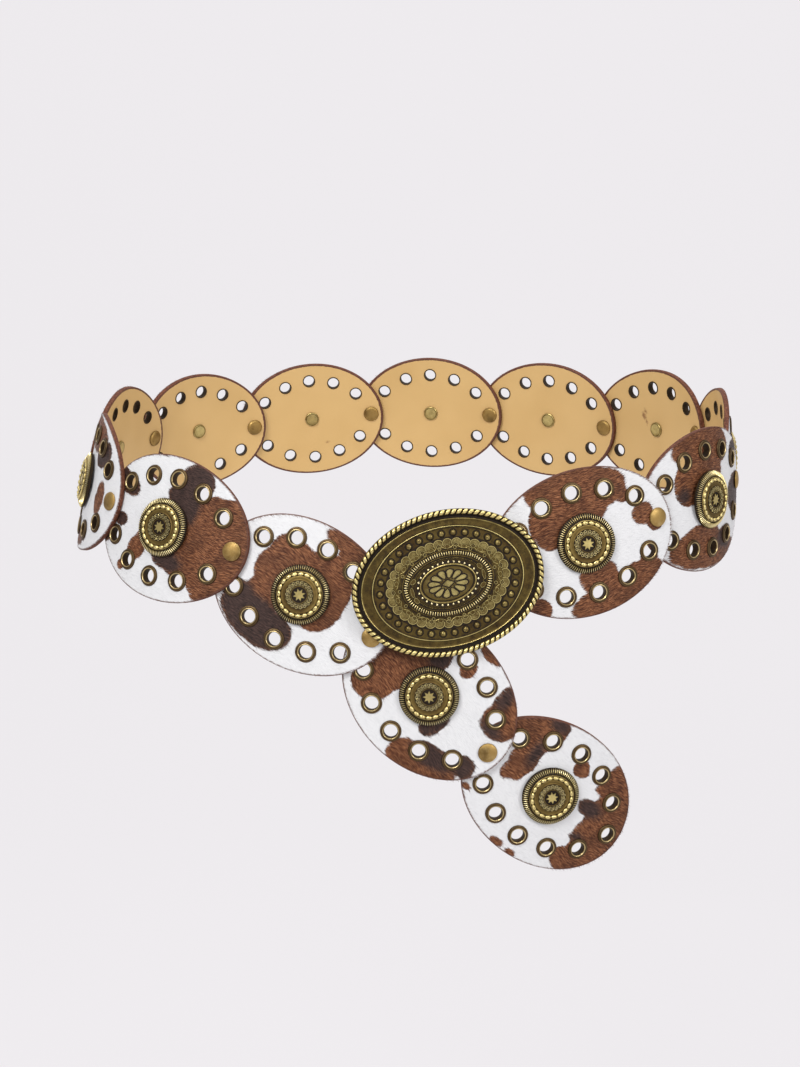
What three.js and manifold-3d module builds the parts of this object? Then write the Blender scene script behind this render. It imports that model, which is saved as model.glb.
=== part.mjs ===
// A concho belt, fastened as it is worn: oval leather discs riveted into a chain, an eyelet ring
// round every disc, a domed concho in its middle, and an oval cast buckle that hooks into an eyelet.
// The two discs past the hook hang below the buckle as the belt's tail.
// Millimetres, +Z up, the wearer's front towards -Y. The origin is the middle of the waist.
import * as THREE from "three";
import { mergeVertices } from "three/addons/utils/BufferGeometryUtils.js";
import Module from "manifold-3d";

const wasm = await Module();
wasm.setup();

// Driving dimensions.
const DISC_LENGTH = 85;
const DISC_HEIGHT = 65;
const LEATHER = 2.4;
const RIVET_INSET = 7; // from a disc's end to the rivet that joins it to the next disc
const LAYER_GAP = 0.35; // between two overlapping discs
const CLEARANCE = 0.3; // between a shank and its hole
const SEAT = 0.4; // between a flat cap and the curved leather under it
const EYELET_HOLE = 6.9; // diameter

const CONCHO_DIAMETER = 26.2;
const CONCHO_EDGE = 1.3; // height of its milled rim above its back
const CONCHO_SHOULDER = 2.7;
const CONCHO_CROWN = 3.7;
const CONCHO_SHOULDER_DIAMETER = 18;

const RIVET_DIAMETER = 8.6;
const RIVET_DOME = 1.3;
const CONCHO_BACK_DIAMETER = 8;
const SHANK_DIAMETER = 3;

const BUCKLE_LENGTH = 84;
const BUCKLE_HEIGHT = 62.8;
const BUCKLE_EDGE = 3.4; // depth of the rope edge, front to back
const BUCKLE_STUD = 2.5; // diameter of a raised stud
const BUCKLE_STUDS = 32;
const HOOK_TO_POST = 61; // the hook's eyelet to the rivet hole of the first disc
const HOOK_INSET = 7.5; // from the buckle's end to its hook
const HOOK_DIAMETER = 3.6;
const HOOK_TOE = 6; // how far the hook's toe reaches behind the leather, from the hook's middle
const COLLAR_DIAMETER = 6.4; // the spacer that carries the buckle off the first disc
const BUCKLE_BACK = 4.2; // the buckle's back, in front of the middle of the leather at hook and post
const SUNK = 1; // how deep a stud, hook or post runs into the metal it grows from

// How the belt lies on the body. The depths are shares of the waist's half width.
const FRONT_DEPTH = 0.656;
const BACK_DEPTH = 0.81;
const SIDE_SKEW = 0.06; // the right side stands out by this much more than the left
const FRONT_SQUARENESS = 2.55; // exponents of the oval: 2 is an ellipse
const BACK_SQUARENESS = 2.1;
const TURN = -4; // degrees about +Z
const LEAN = { front: 10.5, right: 2, back: 7, left: 9.5, skew: 1.7 }; // degrees, top inwards
const HIP_BULGE = 780; // radius of the body's upright profile
const FIRST_RIVET_AROUND = 63; // the first disc's head rivet, round the waist from the front
const FIRST_RIVET_HEIGHT = -14.7; // and above the origin

// One row for each disc, from the buckle round the right side, back and left side to the tail:
// how steeply it climbs, in degrees, towards the next disc.
const DISCS = [
  { slope: 15.5 },
  { slope: 7.2 },
  { slope: 11.5 },
  { slope: -2.3 },
  { slope: 3.3 },
  { slope: -0.2 },
  { slope: -5.4 },
  { slope: -0.8 },
  { slope: -2.5 },
  { slope: -9.1 },
  { slope: -13.6 },
  { slope: -29.7 },
  { slope: -45.7 },
  { slope: -38 },
];
const HOOKED_DISC = 11; // the row of the disc that the hook holds

// Eyelets of a quarter of the disc, as shares of its half length and half height.
const EYELETS = [
  { along: 0, across: 0.7 },
  { along: 0.342, across: 0.622 },
  { along: 0.645, across: 0.394 },
];
const HOOK_EYELET = EYELETS[2];

// The buckle's front, from its rope edge to its middle: shares of its half length and half height,
// and the height of each ring over the buckle's back, as a share of the rope edge's depth.
const BUCKLE_RINGS = [
  { long: 0.965, high: 0.953, rise: 0 },
  { long: 1, high: 1, rise: 0.38 },
  { long: 0.985, high: 0.98, rise: 0.86 },
  { long: 0.962, high: 0.95, rise: 1 },
  { long: 0.938, high: 0.918, rise: 0.58 },
  { long: 0.775, high: 0.745, rise: 0.74 },
  { long: 0.64, high: 0.575, rise: 0.68 },
  { long: 0.46, high: 0.405, rise: 1.12 },
  { long: 0.3, high: 0.265, rise: 1.2 },
];
const BUCKLE_CROWN = 1.38; // the middle's height, as the same share
const BUCKLE_STUD_RING = { long: 0.705, high: 0.665, rise: 0.71 };

// How finely round shapes are cut.
const OUTLINE_STEPS = 30;
const EYELET_SIDES = 6;
const SHANK_SIDES = 6;
const CONCHO_SIDES = 12;
const RIVET_SIDES = 8;
const BUCKLE_SIDES = 32;
const STUD_SIDES = 4;
const CUT_BOW = 0.5;
const CUT_SHARES = [-0.34, 0, 0.34]; // heights of a cut's points, as shares of the half height
const COLUMN_SPLITS = [[-0.34, 0.34], [0], [0], []]; // between the cells of a column, middle first

// Worked out from the sizes above.
const HALF_LENGTH = DISC_LENGTH / 2;
const HALF_HEIGHT = DISC_HEIGHT / 2;
const REACH = HALF_LENGTH - RIVET_INSET; // from a disc's middle to either rivet
const LIFT = (LEATHER + LAYER_GAP) / 2; // how far overlapping discs stand off the body line
const STACK = LIFT + LEATHER / 2; // half the thickness of two overlapping discs
const SHANK_HOLE = (SHANK_DIAMETER / 2 + CLEARANCE) / Math.cos(Math.PI / SHANK_SIDES);
const BUCKLE_MIDDLE = BUCKLE_LENGTH / 2 - HOOK_INSET; // from the hook, along the buckle
const UP = new THREE.Vector3(0, 0, 1);
const rad = THREE.MathUtils.degToRad;

// Materials.
const HIDE = new THREE.MeshStandardMaterial({ color: 0x7a4a33, roughness: 0.85, metalness: 0 });
const BRASS = new THREE.MeshStandardMaterial({ color: 0x8a7438, roughness: 0.4, metalness: 1 });

// The waist seen from above, as a closed curve that starts in front and runs towards +X.
class WaistCurve extends THREE.Curve {
  constructor(halfWidth) {
    super();
    this.halfWidth = halfWidth;
    this.arcLengthDivisions = 720;
  }

  getPoint(t, target = new THREE.Vector3()) {
    const angle = 2 * Math.PI * t - Math.PI / 2;
    const across = Math.cos(angle);
    const back = Math.sin(angle);
    const squareness = THREE.MathUtils.lerp(FRONT_SQUARENESS, BACK_SQUARENESS, (1 + back) / 2);
    const size = Math.abs(across) ** squareness + Math.abs(back) ** squareness;
    const radius = this.halfWidth * size ** (-1 / squareness);
    const depth = back < 0 ? FRONT_DEPTH : BACK_DEPTH;
    target.set(radius * across * (1 + SIDE_SKEW * across), radius * back * depth, 0);
    return target.applyAxisAngle(UP, rad(TURN));
  }
}

// Where each disc's middle lies: its way round the waist from the front and its height.
function layOutDiscs() {
  let around = FIRST_RIVET_AROUND;
  let height = FIRST_RIVET_HEIGHT;
  return DISCS.map(({ slope }) => {
    const turn = rad(slope);
    const disc = {
      turn,
      around: around + REACH * Math.cos(turn),
      height: height + REACH * Math.sin(turn),
    };
    around += 2 * REACH * Math.cos(turn);
    height += 2 * REACH * Math.sin(turn);
    return disc;
  });
}

// A point of a disc, given along and across it, on the unrolled waist.
function unrolled(disc, along, across) {
  return {
    around: disc.around + along * Math.cos(disc.turn) - across * Math.sin(disc.turn),
    height: disc.height + along * Math.sin(disc.turn) + across * Math.cos(disc.turn),
  };
}

const layout = layOutDiscs();
const hookHole = unrolled(
  layout[HOOKED_DISC],
  HOOK_EYELET.along * HALF_LENGTH,
  HOOK_EYELET.across * HALF_HEIGHT,
);
const buckleTilt = Math.asin((FIRST_RIVET_HEIGHT - hookHole.height) / HOOK_TO_POST);

// The chain of discs and the buckle's span close the loop, and that sets the waist's size.
const chainLength = hookHole.around - FIRST_RIVET_AROUND;
const waistLength = chainLength + HOOK_TO_POST * Math.cos(buckleTilt);
const waist = new WaistCurve(waistLength / new WaistCurve(1).getLength());

// The body's lean at an angle round the waist, in radians.
function leanAt(angle) {
  const { front, right, back, left, skew } = LEAN;
  const mean = (front + right + back + left) / 4;
  const sideways = ((right - left) / 2) * Math.cos(angle);
  const forwards = ((back - front) / 2) * Math.sin(angle);
  const paired = ((right + left - front - back) / 4) * Math.cos(2 * angle);
  return rad(mean + sideways + forwards + paired + skew * Math.sin(2 * angle));
}

// A point on the worn belt: around and height on the unrolled waist, and off the body line.
function onBody({ around, height }, off) {
  const share = THREE.MathUtils.euclideanModulo(around / waistLength, 1);
  const t = waist.getUtoTmapping(share);
  const point = waist.getPoint(t);
  const tangent = waist.getTangent(t);
  const outward = new THREE.Vector3(tangent.y, -tangent.x, 0);
  const lean = leanAt(2 * Math.PI * t - Math.PI / 2);
  const leanHere = lean + height / HIP_BULGE;
  const out = HIP_BULGE * (Math.cos(leanHere) - Math.cos(lean)) + off * Math.cos(leanHere);
  const up = HIP_BULGE * (Math.sin(leanHere) - Math.sin(lean)) + off * Math.sin(leanHere);
  return point.addScaledVector(outward, out).addScaledVector(UP, up);
}

// A point of a worn disc. Its head lies under the disc before it, and its tail over the next.
function onDisc(disc, along, across, off) {
  return onBody(unrolled(disc, along, across), off + (LIFT * along) / REACH);
}

// The place and turn of a hard piece set square on a surface, with its own +Z facing out.
function frameOn(surface, first, second) {
  const origin = surface(first, second, 0);
  const along = surface(first + 1, second, 0).sub(surface(first - 1, second, 0));
  const across = surface(first, second + 1, 0).sub(surface(first, second - 1, 0));
  const outward = along.clone().cross(across).normalize();
  along.normalize();
  across.crossVectors(outward, along);
  return new THREE.Matrix4().makeBasis(along, across, outward).setPosition(origin);
}

function discFrame(disc, along, across) {
  return frameOn((a, b, off) => onDisc(disc, a, b, off), along, across);
}

function circle(x, y, radius, sides) {
  const start = Math.PI / sides;
  return Array.from({ length: sides }, (_, i) => {
    const angle = start + (2 * Math.PI * i) / sides;
    return new THREE.Vector2(x + radius * Math.cos(angle), y + radius * Math.sin(angle));
  });
}

// Every hole in a disc. The last disc has an eyelet where the others have their tail rivet.
function discHoles(isLast) {
  const eyelets = EYELETS.flatMap(({ along, across }) =>
    (along ? [1, -1] : [1]).flatMap((end) =>
      [1, -1].map((side) => ({
        x: end * along * HALF_LENGTH,
        y: side * across * HALF_HEIGHT,
        radius: EYELET_HOLE / 2,
        sides: EYELET_SIDES,
      })),
    ),
  );
  const shank = { y: 0, radius: SHANK_HOLE, sides: SHANK_SIDES };
  const tail = isLast
    ? { x: REACH, y: 0, radius: EYELET_HOLE / 2, sides: EYELET_SIDES }
    : { ...shank, x: REACH };
  return [...eyelets, { ...shank, x: -REACH }, { ...shank, x: 0 }, tail];
}

// The disc's outline between two angles round its oval.
function outline(from, to) {
  const steps = Math.max(1, Math.round((OUTLINE_STEPS * (to - from)) / (2 * Math.PI)));
  return Array.from({ length: steps + 1 }, (_, i) => {
    const angle = from + ((to - from) * i) / steps;
    return new THREE.Vector2(HALF_LENGTH * Math.cos(angle), HALF_HEIGHT * Math.sin(angle));
  });
}

// A point of a cut that runs up the disc. The cut bows a little, so that no three of its points
// are in line and none of them is dropped.
function cutPoint(x, share) {
  return new THREE.Vector2(x + CUT_BOW * (1 - share ** 2), share * HALF_HEIGHT);
}

// A flat disc as cells round its holes, each with its outline and its own hole. Small cells let
// the leather follow the body.
function discCells(isLast) {
  const eyelets = EYELETS.map(({ along }) => ({ x: along * HALF_LENGTH, radius: EYELET_HOLE / 2 }));
  const cutsTo = (radius) => {
    const columns = [...eyelets, { x: REACH, radius }];
    const between = (one, next) => (one.x + one.radius + next.x - next.radius) / 2;
    return columns.slice(1).map((next, i) => between(columns[i], next));
  };
  const left = cutsTo(SHANK_HOLE).map((x) => -x);
  const cuts = [...left.reverse(), ...cutsTo(isLast ? EYELET_HOLE / 2 : SHANK_HOLE)];
  const edges = [-HALF_LENGTH, ...cuts, HALF_LENGTH];
  const holes = discHoles(isLast);
  return edges.slice(1).flatMap((to, column) => {
    const from = edges[column];
    const angles = [from, to].map((x) => Math.acos(x / HALF_LENGTH));
    const splits = COLUMN_SPLITS[Math.abs(column - cuts.length / 2)];
    return [...splits, 1].map((high, row) => {
      const low = row ? splits[row - 1] : -1;
      const inner = CUT_SHARES.filter((share) => share > low && share < high);
      const below = row
        ? [cutPoint(from, low), cutPoint(to, low)]
        : outline(2 * Math.PI - angles[0], 2 * Math.PI - angles[1]);
      const above = high < 1
        ? [cutPoint(to, high), cutPoint(from, high)]
        : outline(angles[1], angles[0]);
      const contour = [
        ...below,
        ...(to < HALF_LENGTH ? inner.map((share) => cutPoint(to, share)) : []),
        ...above,
        ...(from > -HALF_LENGTH ? inner.map((share) => cutPoint(from, share)).reverse() : []),
      ];
      const inside = ({ x, y }) =>
        x > from && x < to && y > low * HALF_HEIGHT && y < high * HALF_HEIGHT;
      return {
        contour: contour.filter((point, i) => point.distanceTo(contour.at(i - 1)) > CLEARANCE),
        holes: holes.filter(inside).map(({ x, y, radius, sides }) => circle(x, y, radius, sides)),
      };
    });
  });
}

// A sheet of leather from flat cells: both faces, and a wall along every free edge.
function sheetGeometry(cells, thickness, place) {
  const points = [];
  const known = new Map();
  const indexOf = (point) => {
    const key = `${point.x.toFixed(3)} ${point.y.toFixed(3)}`;
    if (!known.has(key)) known.set(key, points.push(point) - 1);
    return known.get(key);
  };
  const faces = cells.flatMap(({ contour, holes }) => {
    const all = [contour, ...holes].flat();
    return THREE.ShapeUtils.triangulateShape(contour, holes).map((face) => {
      const [a, b, c] = face.map((i) => all[i]);
      const faceUp = (b.x - a.x) * (c.y - a.y) > (c.x - a.x) * (b.y - a.y);
      return (faceUp ? [a, b, c] : [a, c, b]).map(indexOf);
    });
  });
  const edges = new Set(faces.flatMap(([a, b, c]) => [`${a} ${b}`, `${b} ${c}`, `${c} ${a}`]));
  const free = [...edges]
    .map((edge) => edge.split(" ").map(Number))
    .filter(([a, b]) => !edges.has(`${b} ${a}`));
  const back = points.length;
  const index = [
    ...faces.flat(),
    ...faces.flatMap(([a, b, c]) => [back + a, back + c, back + b]),
    ...free.flatMap(([a, b]) => [a, back + a, back + b, a, back + b, b]),
  ];
  const placed = [thickness / 2, -thickness / 2].flatMap((off) =>
    points.map(({ x, y }) => place(x, y, off)),
  );
  return new THREE.BufferGeometry().setFromPoints(placed).setIndex(index);
}

// A turned piece about +Z: rows of radius and height, from the axis at its back to its front.
function turned(profile, sides) {
  const points = profile.map(([radius, height]) => new THREE.Vector2(radius, height));
  return new THREE.LatheGeometry(points, sides).rotateX(Math.PI / 2);
}

function conchoGeometry() {
  const back = LEATHER / 2 + SEAT;
  const shank = SHANK_DIAMETER / 2;
  return turned(
    [
      [0, -back - RIVET_DOME],
      [CONCHO_BACK_DIAMETER / 2, -back],
      [shank, -back],
      [shank, back],
      [CONCHO_DIAMETER / 2, back],
      [CONCHO_DIAMETER / 2, back + CONCHO_EDGE],
      [CONCHO_SHOULDER_DIAMETER / 2, back + CONCHO_SHOULDER],
      [0, back + CONCHO_CROWN],
    ],
    CONCHO_SIDES,
  );
}

function rivetGeometry() {
  const back = STACK + SEAT;
  const shank = SHANK_DIAMETER / 2;
  return turned(
    [
      [0, -back - RIVET_DOME],
      [RIVET_DIAMETER / 2, -back],
      [shank, -back],
      [shank, back],
      [RIVET_DIAMETER / 2, back],
      [0, back + RIVET_DOME],
    ],
    RIVET_SIDES,
  );
}

// A closed body of oval rings, from its flat back to the crown of its front.
function ovalGeometry(rings, crown, halfLength, halfHeight, depth) {
  const positions = [];
  const index = [];
  rings.forEach(({ long, high, rise }) => {
    for (let i = 0; i < BUCKLE_SIDES; i++) {
      const angle = (2 * Math.PI * i) / BUCKLE_SIDES;
      const x = long * halfLength * Math.cos(angle);
      const y = high * halfHeight * Math.sin(angle);
      positions.push(new THREE.Vector3(x, y, rise * depth));
    }
  });
  const back = positions.push(new THREE.Vector3(0, 0, rings[0].rise * depth)) - 1;
  const front = positions.push(new THREE.Vector3(0, 0, crown * depth)) - 1;
  const last = (rings.length - 1) * BUCKLE_SIDES;
  for (let i = 0; i < BUCKLE_SIDES; i++) {
    const next = (i + 1) % BUCKLE_SIDES;
    index.push(back, next, i, front, last + i, last + next);
    for (let ring = 0; ring < last; ring += BUCKLE_SIDES) {
      const above = ring + BUCKLE_SIDES;
      index.push(ring + i, ring + next, above + next, ring + i, above + next, above + i);
    }
  }
  return new THREE.BufferGeometry().setFromPoints(positions).setIndex(index);
}

// A closed geometry as a solid that can be joined, and back again.
function solidOf(geometry) {
  const bare = geometry.clone().deleteAttribute("normal").deleteAttribute("uv");
  const merged = mergeVertices(bare, 1e-4);
  return new wasm.Manifold(
    new wasm.Mesh({
      numProp: 3,
      vertProperties: merged.attributes.position.array,
      triVerts: new Uint32Array(merged.index.array),
    }),
  );
}

function geometryOf(solid) {
  const { vertProperties, triVerts } = solid.getMesh();
  return new THREE.BufferGeometry()
    .setAttribute("position", new THREE.BufferAttribute(vertProperties, 3))
    .setIndex(new THREE.BufferAttribute(triVerts, 1));
}

// The buckle's place: over its span from the hook's eyelet to the first disc's head rivet, facing
// midway between the two. Its own +Z faces out.
function buckleFrame(hookFrame, postFrame) {
  const hook = new THREE.Vector3().setFromMatrixPosition(hookFrame);
  const post = new THREE.Vector3().setFromMatrixPosition(postFrame);
  const along = post.clone().sub(hook).normalize();
  const facing = new THREE.Vector3().setFromMatrixColumn(hookFrame, 2);
  facing.add(new THREE.Vector3().setFromMatrixColumn(postFrame, 2));
  facing.addScaledVector(along, -facing.dot(along)).normalize();
  const across = facing.clone().cross(along);
  const middle = hook.addScaledVector(along, BUCKLE_MIDDLE).addScaledVector(facing, BUCKLE_BACK);
  return new THREE.Matrix4().makeBasis(along, across, facing).setPosition(middle);
}

// The buckle is one casting: the plate with its studs, a hook that drops through an eyelet near
// one end, and a post near the other end that holds the first disc.
function buckleGeometry(hookIn, postIn) {
  const halfLength = BUCKLE_LENGTH / 2;
  const halfHeight = BUCKLE_HEIGHT / 2;
  const plate = ovalGeometry(BUCKLE_RINGS, BUCKLE_CROWN, halfLength, halfHeight, BUCKLE_EDGE);
  const studs = Array.from({ length: BUCKLE_STUDS }, (_, i) => {
    const angle = (2 * Math.PI * (i + 0.5)) / BUCKLE_STUDS;
    const profile = [
      [0, -SUNK],
      [BUCKLE_STUD / 2, -SUNK],
      [0, BUCKLE_STUD / 2],
    ];
    return turned(profile, STUD_SIDES).translate(
      BUCKLE_STUD_RING.long * halfLength * Math.cos(angle),
      BUCKLE_STUD_RING.high * halfHeight * Math.sin(angle),
      BUCKLE_STUD_RING.rise * BUCKLE_EDGE,
    );
  });

  // The hook: a peg through the leather and a toe that lies behind it.
  const pegTop = SUNK - new THREE.Vector3().setFromMatrixPosition(hookIn).z;
  const toeTop = -LEATHER / 2 - 2 * SEAT;
  const toeBottom = toeTop - HOOK_DIAMETER / 2;
  const peg = turned(
    [
      [0, toeBottom],
      [HOOK_DIAMETER / 2, toeBottom],
      [HOOK_DIAMETER / 2, pegTop],
      [0, pegTop],
    ],
    RIVET_SIDES,
  );
  const toe = new THREE.BoxGeometry(HOOK_TOE, HOOK_DIAMETER, toeTop - toeBottom);
  toe.translate(-HOOK_TOE / 2, 0, (toeTop + toeBottom) / 2);

  // The post: a collar down to the first disc, a shank through it and a cap behind it.
  const collarTop = SUNK - new THREE.Vector3().setFromMatrixPosition(postIn).z;
  const collarBottom = LEATHER / 2 + SEAT;
  const post = turned(
    [
      [0, -collarBottom - RIVET_DOME],
      [RIVET_DIAMETER / 2, -collarBottom],
      [SHANK_DIAMETER / 2, -collarBottom],
      [SHANK_DIAMETER / 2, collarBottom],
      [COLLAR_DIAMETER / 2, collarBottom],
      [COLLAR_DIAMETER / 2, collarTop],
      [0, collarTop],
    ],
    RIVET_SIDES,
  );

  const back = [peg.applyMatrix4(hookIn), toe.applyMatrix4(hookIn), post.applyMatrix4(postIn)];
  const pieces = [...studs, ...back].map(solidOf);
  return geometryOf(pieces.reduce((body, piece) => body.add(piece), solidOf(plate)));
}

function named(name, geometry, material, frame = new THREE.Matrix4()) {
  const mesh = new THREE.Mesh(geometry, material);
  mesh.name = name;
  frame.decompose(mesh.position, mesh.quaternion, mesh.scale);
  return mesh;
}

const belt = new THREE.Group();
layout.forEach((disc, i) => {
  const number = String(i + 1).padStart(2, "0");
  const isLast = i === layout.length - 1;
  const place = (x, y, off) => onDisc(disc, x, y, off);
  const leather = sheetGeometry(discCells(isLast), LEATHER, place);
  belt.add(named(`disc_${number}`, leather, HIDE));
  belt.add(named(`concho_${number}`, conchoGeometry(), BRASS, discFrame(disc, 0, 0)));
  if (isLast) return;
  const joint = frameOn((a, b, off) => onBody(unrolled(disc, a, b), off), REACH, 0);
  belt.add(named(`rivet_${number}`, rivetGeometry(), BRASS, joint));
});

const hookFrame = discFrame(
  layout[HOOKED_DISC],
  HOOK_EYELET.along * HALF_LENGTH,
  HOOK_EYELET.across * HALF_HEIGHT,
);
const postFrame = discFrame(layout[0], -REACH, 0);
const frame = buckleFrame(hookFrame, postFrame);
const inFrame = (other) => frame.clone().invert().multiply(other);
belt.add(named("buckle", buckleGeometry(inFrame(hookFrame), inFrame(postFrame)), BRASS, frame));

export default belt;
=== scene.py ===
"""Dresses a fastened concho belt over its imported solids.

Oval discs of hair-on leather are riveted into a chain. Each has a ring of eyelets and a domed
concho, and an oval cast buckle closes the loop in front. Metres, +Z up, the front towards -Y.
Small parts are drawn in millimetres in their own frame and then set in place.
"""

import logging
import math
from dataclasses import dataclass, field
from enum import Enum
from itertools import pairwise
from typing import Any, Callable, Optional, Sequence

import bmesh
import bpy
import numpy as np
from mathutils import Matrix, Vector


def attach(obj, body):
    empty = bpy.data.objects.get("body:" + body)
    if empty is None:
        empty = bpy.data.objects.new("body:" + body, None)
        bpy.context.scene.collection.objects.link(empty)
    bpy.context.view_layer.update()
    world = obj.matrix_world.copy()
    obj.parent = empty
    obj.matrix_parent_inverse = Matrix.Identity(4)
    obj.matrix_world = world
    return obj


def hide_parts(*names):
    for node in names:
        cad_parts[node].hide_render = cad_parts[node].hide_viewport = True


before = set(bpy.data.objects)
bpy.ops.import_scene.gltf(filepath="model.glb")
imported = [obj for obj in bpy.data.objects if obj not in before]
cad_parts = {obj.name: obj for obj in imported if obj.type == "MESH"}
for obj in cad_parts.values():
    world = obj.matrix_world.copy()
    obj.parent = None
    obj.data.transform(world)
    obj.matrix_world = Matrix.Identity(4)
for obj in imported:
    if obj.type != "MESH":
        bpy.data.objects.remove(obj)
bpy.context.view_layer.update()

MM = 0.001
# The millimetres that the discs' UV map spans from 0 to 1.
MAP_SPAN = 100.0
LOG = logging.getLogger("belt")

Colour = tuple[float, float, float]
Oval = tuple[float, float]
# A ring's reach along X and along Y, its height, and its polish, which also carries painted light.
Row = tuple[float, float, float, float]
# A round ring's radius, height and polish, which also carries painted light.
RoundRow = tuple[float, float, float]
# The polish of a token's foot, rim and face, which also carries painted shade and highlight.
Shine = tuple[float, float, float]


class Slot(Enum):
    """The record's material slots."""

    LEATHER = "leather"
    CONCHO = "concho"
    RIVET = "rivet"
    BUCKLE = "buckle"
    EYELET = "eyelet"


class Layer(Enum):
    """The material indices of a disc's leather."""

    HAIR = 0
    BACKING = 1
    EDGE = 2


class Tone(Enum):
    """The two hair colours that stand on white."""

    BROWN = 0
    DARK = 1


# Shader maths


class Value:
    """A number that varies over a surface, so that shader maths reads as plain maths."""

    def __init__(self, paint: "Paint", socket: Any) -> None:
        """Wraps a node's output socket."""
        self.paint = paint
        self.socket = socket

    def _math(self, operation: str, *operands: Any) -> "Value":
        """Adds a Math node.

        Args:
            operation: the node's operation.
            operands: the values or numbers that it reads, in order.

        Returns:
            The result.
        """
        inputs = dict(enumerate(operands))
        node = self.paint.node("ShaderNodeMath", {"operation": operation}, inputs)
        return Value(self.paint, node.outputs[0])

    def __add__(self, other: Any) -> "Value":
        """self + other."""
        return self._math("ADD", self, other)

    def __radd__(self, other: Any) -> "Value":
        """other + self."""
        return self._math("ADD", other, self)

    def __sub__(self, other: Any) -> "Value":
        """self - other."""
        return self._math("SUBTRACT", self, other)

    def __rsub__(self, other: Any) -> "Value":
        """other - self."""
        return self._math("SUBTRACT", other, self)

    def __mul__(self, other: Any) -> "Value":
        """self * other."""
        return self._math("MULTIPLY", self, other)

    def __rmul__(self, other: Any) -> "Value":
        """other * self."""
        return self._math("MULTIPLY", other, self)

    def lower(self, other: Any, blend: float = 0.0) -> "Value":
        """The lower of two values.

        Args:
            other: the second value.
            blend: how softly the two run together, 0 for a hard corner.

        Returns:
            The lower value.
        """
        if blend:
            return self._math("SMOOTH_MIN", self, other, blend)
        return self._math("MINIMUM", self, other)

    def ramp(self, low: float, high: float) -> "Value":
        """0 at low and 1 at high, smooth between them and flat outside.

        Args:
            low: the value that becomes 0.
            high: the value that becomes 1.

        Returns:
            The smoothed share.
        """
        inputs = {"Value": self, "From Min": low, "From Max": high}
        settings = {"interpolation_type": "SMOOTHSTEP"}
        node = self.paint.node("ShaderNodeMapRange", settings, inputs)
        return Value(self.paint, node.outputs["Result"])


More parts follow.
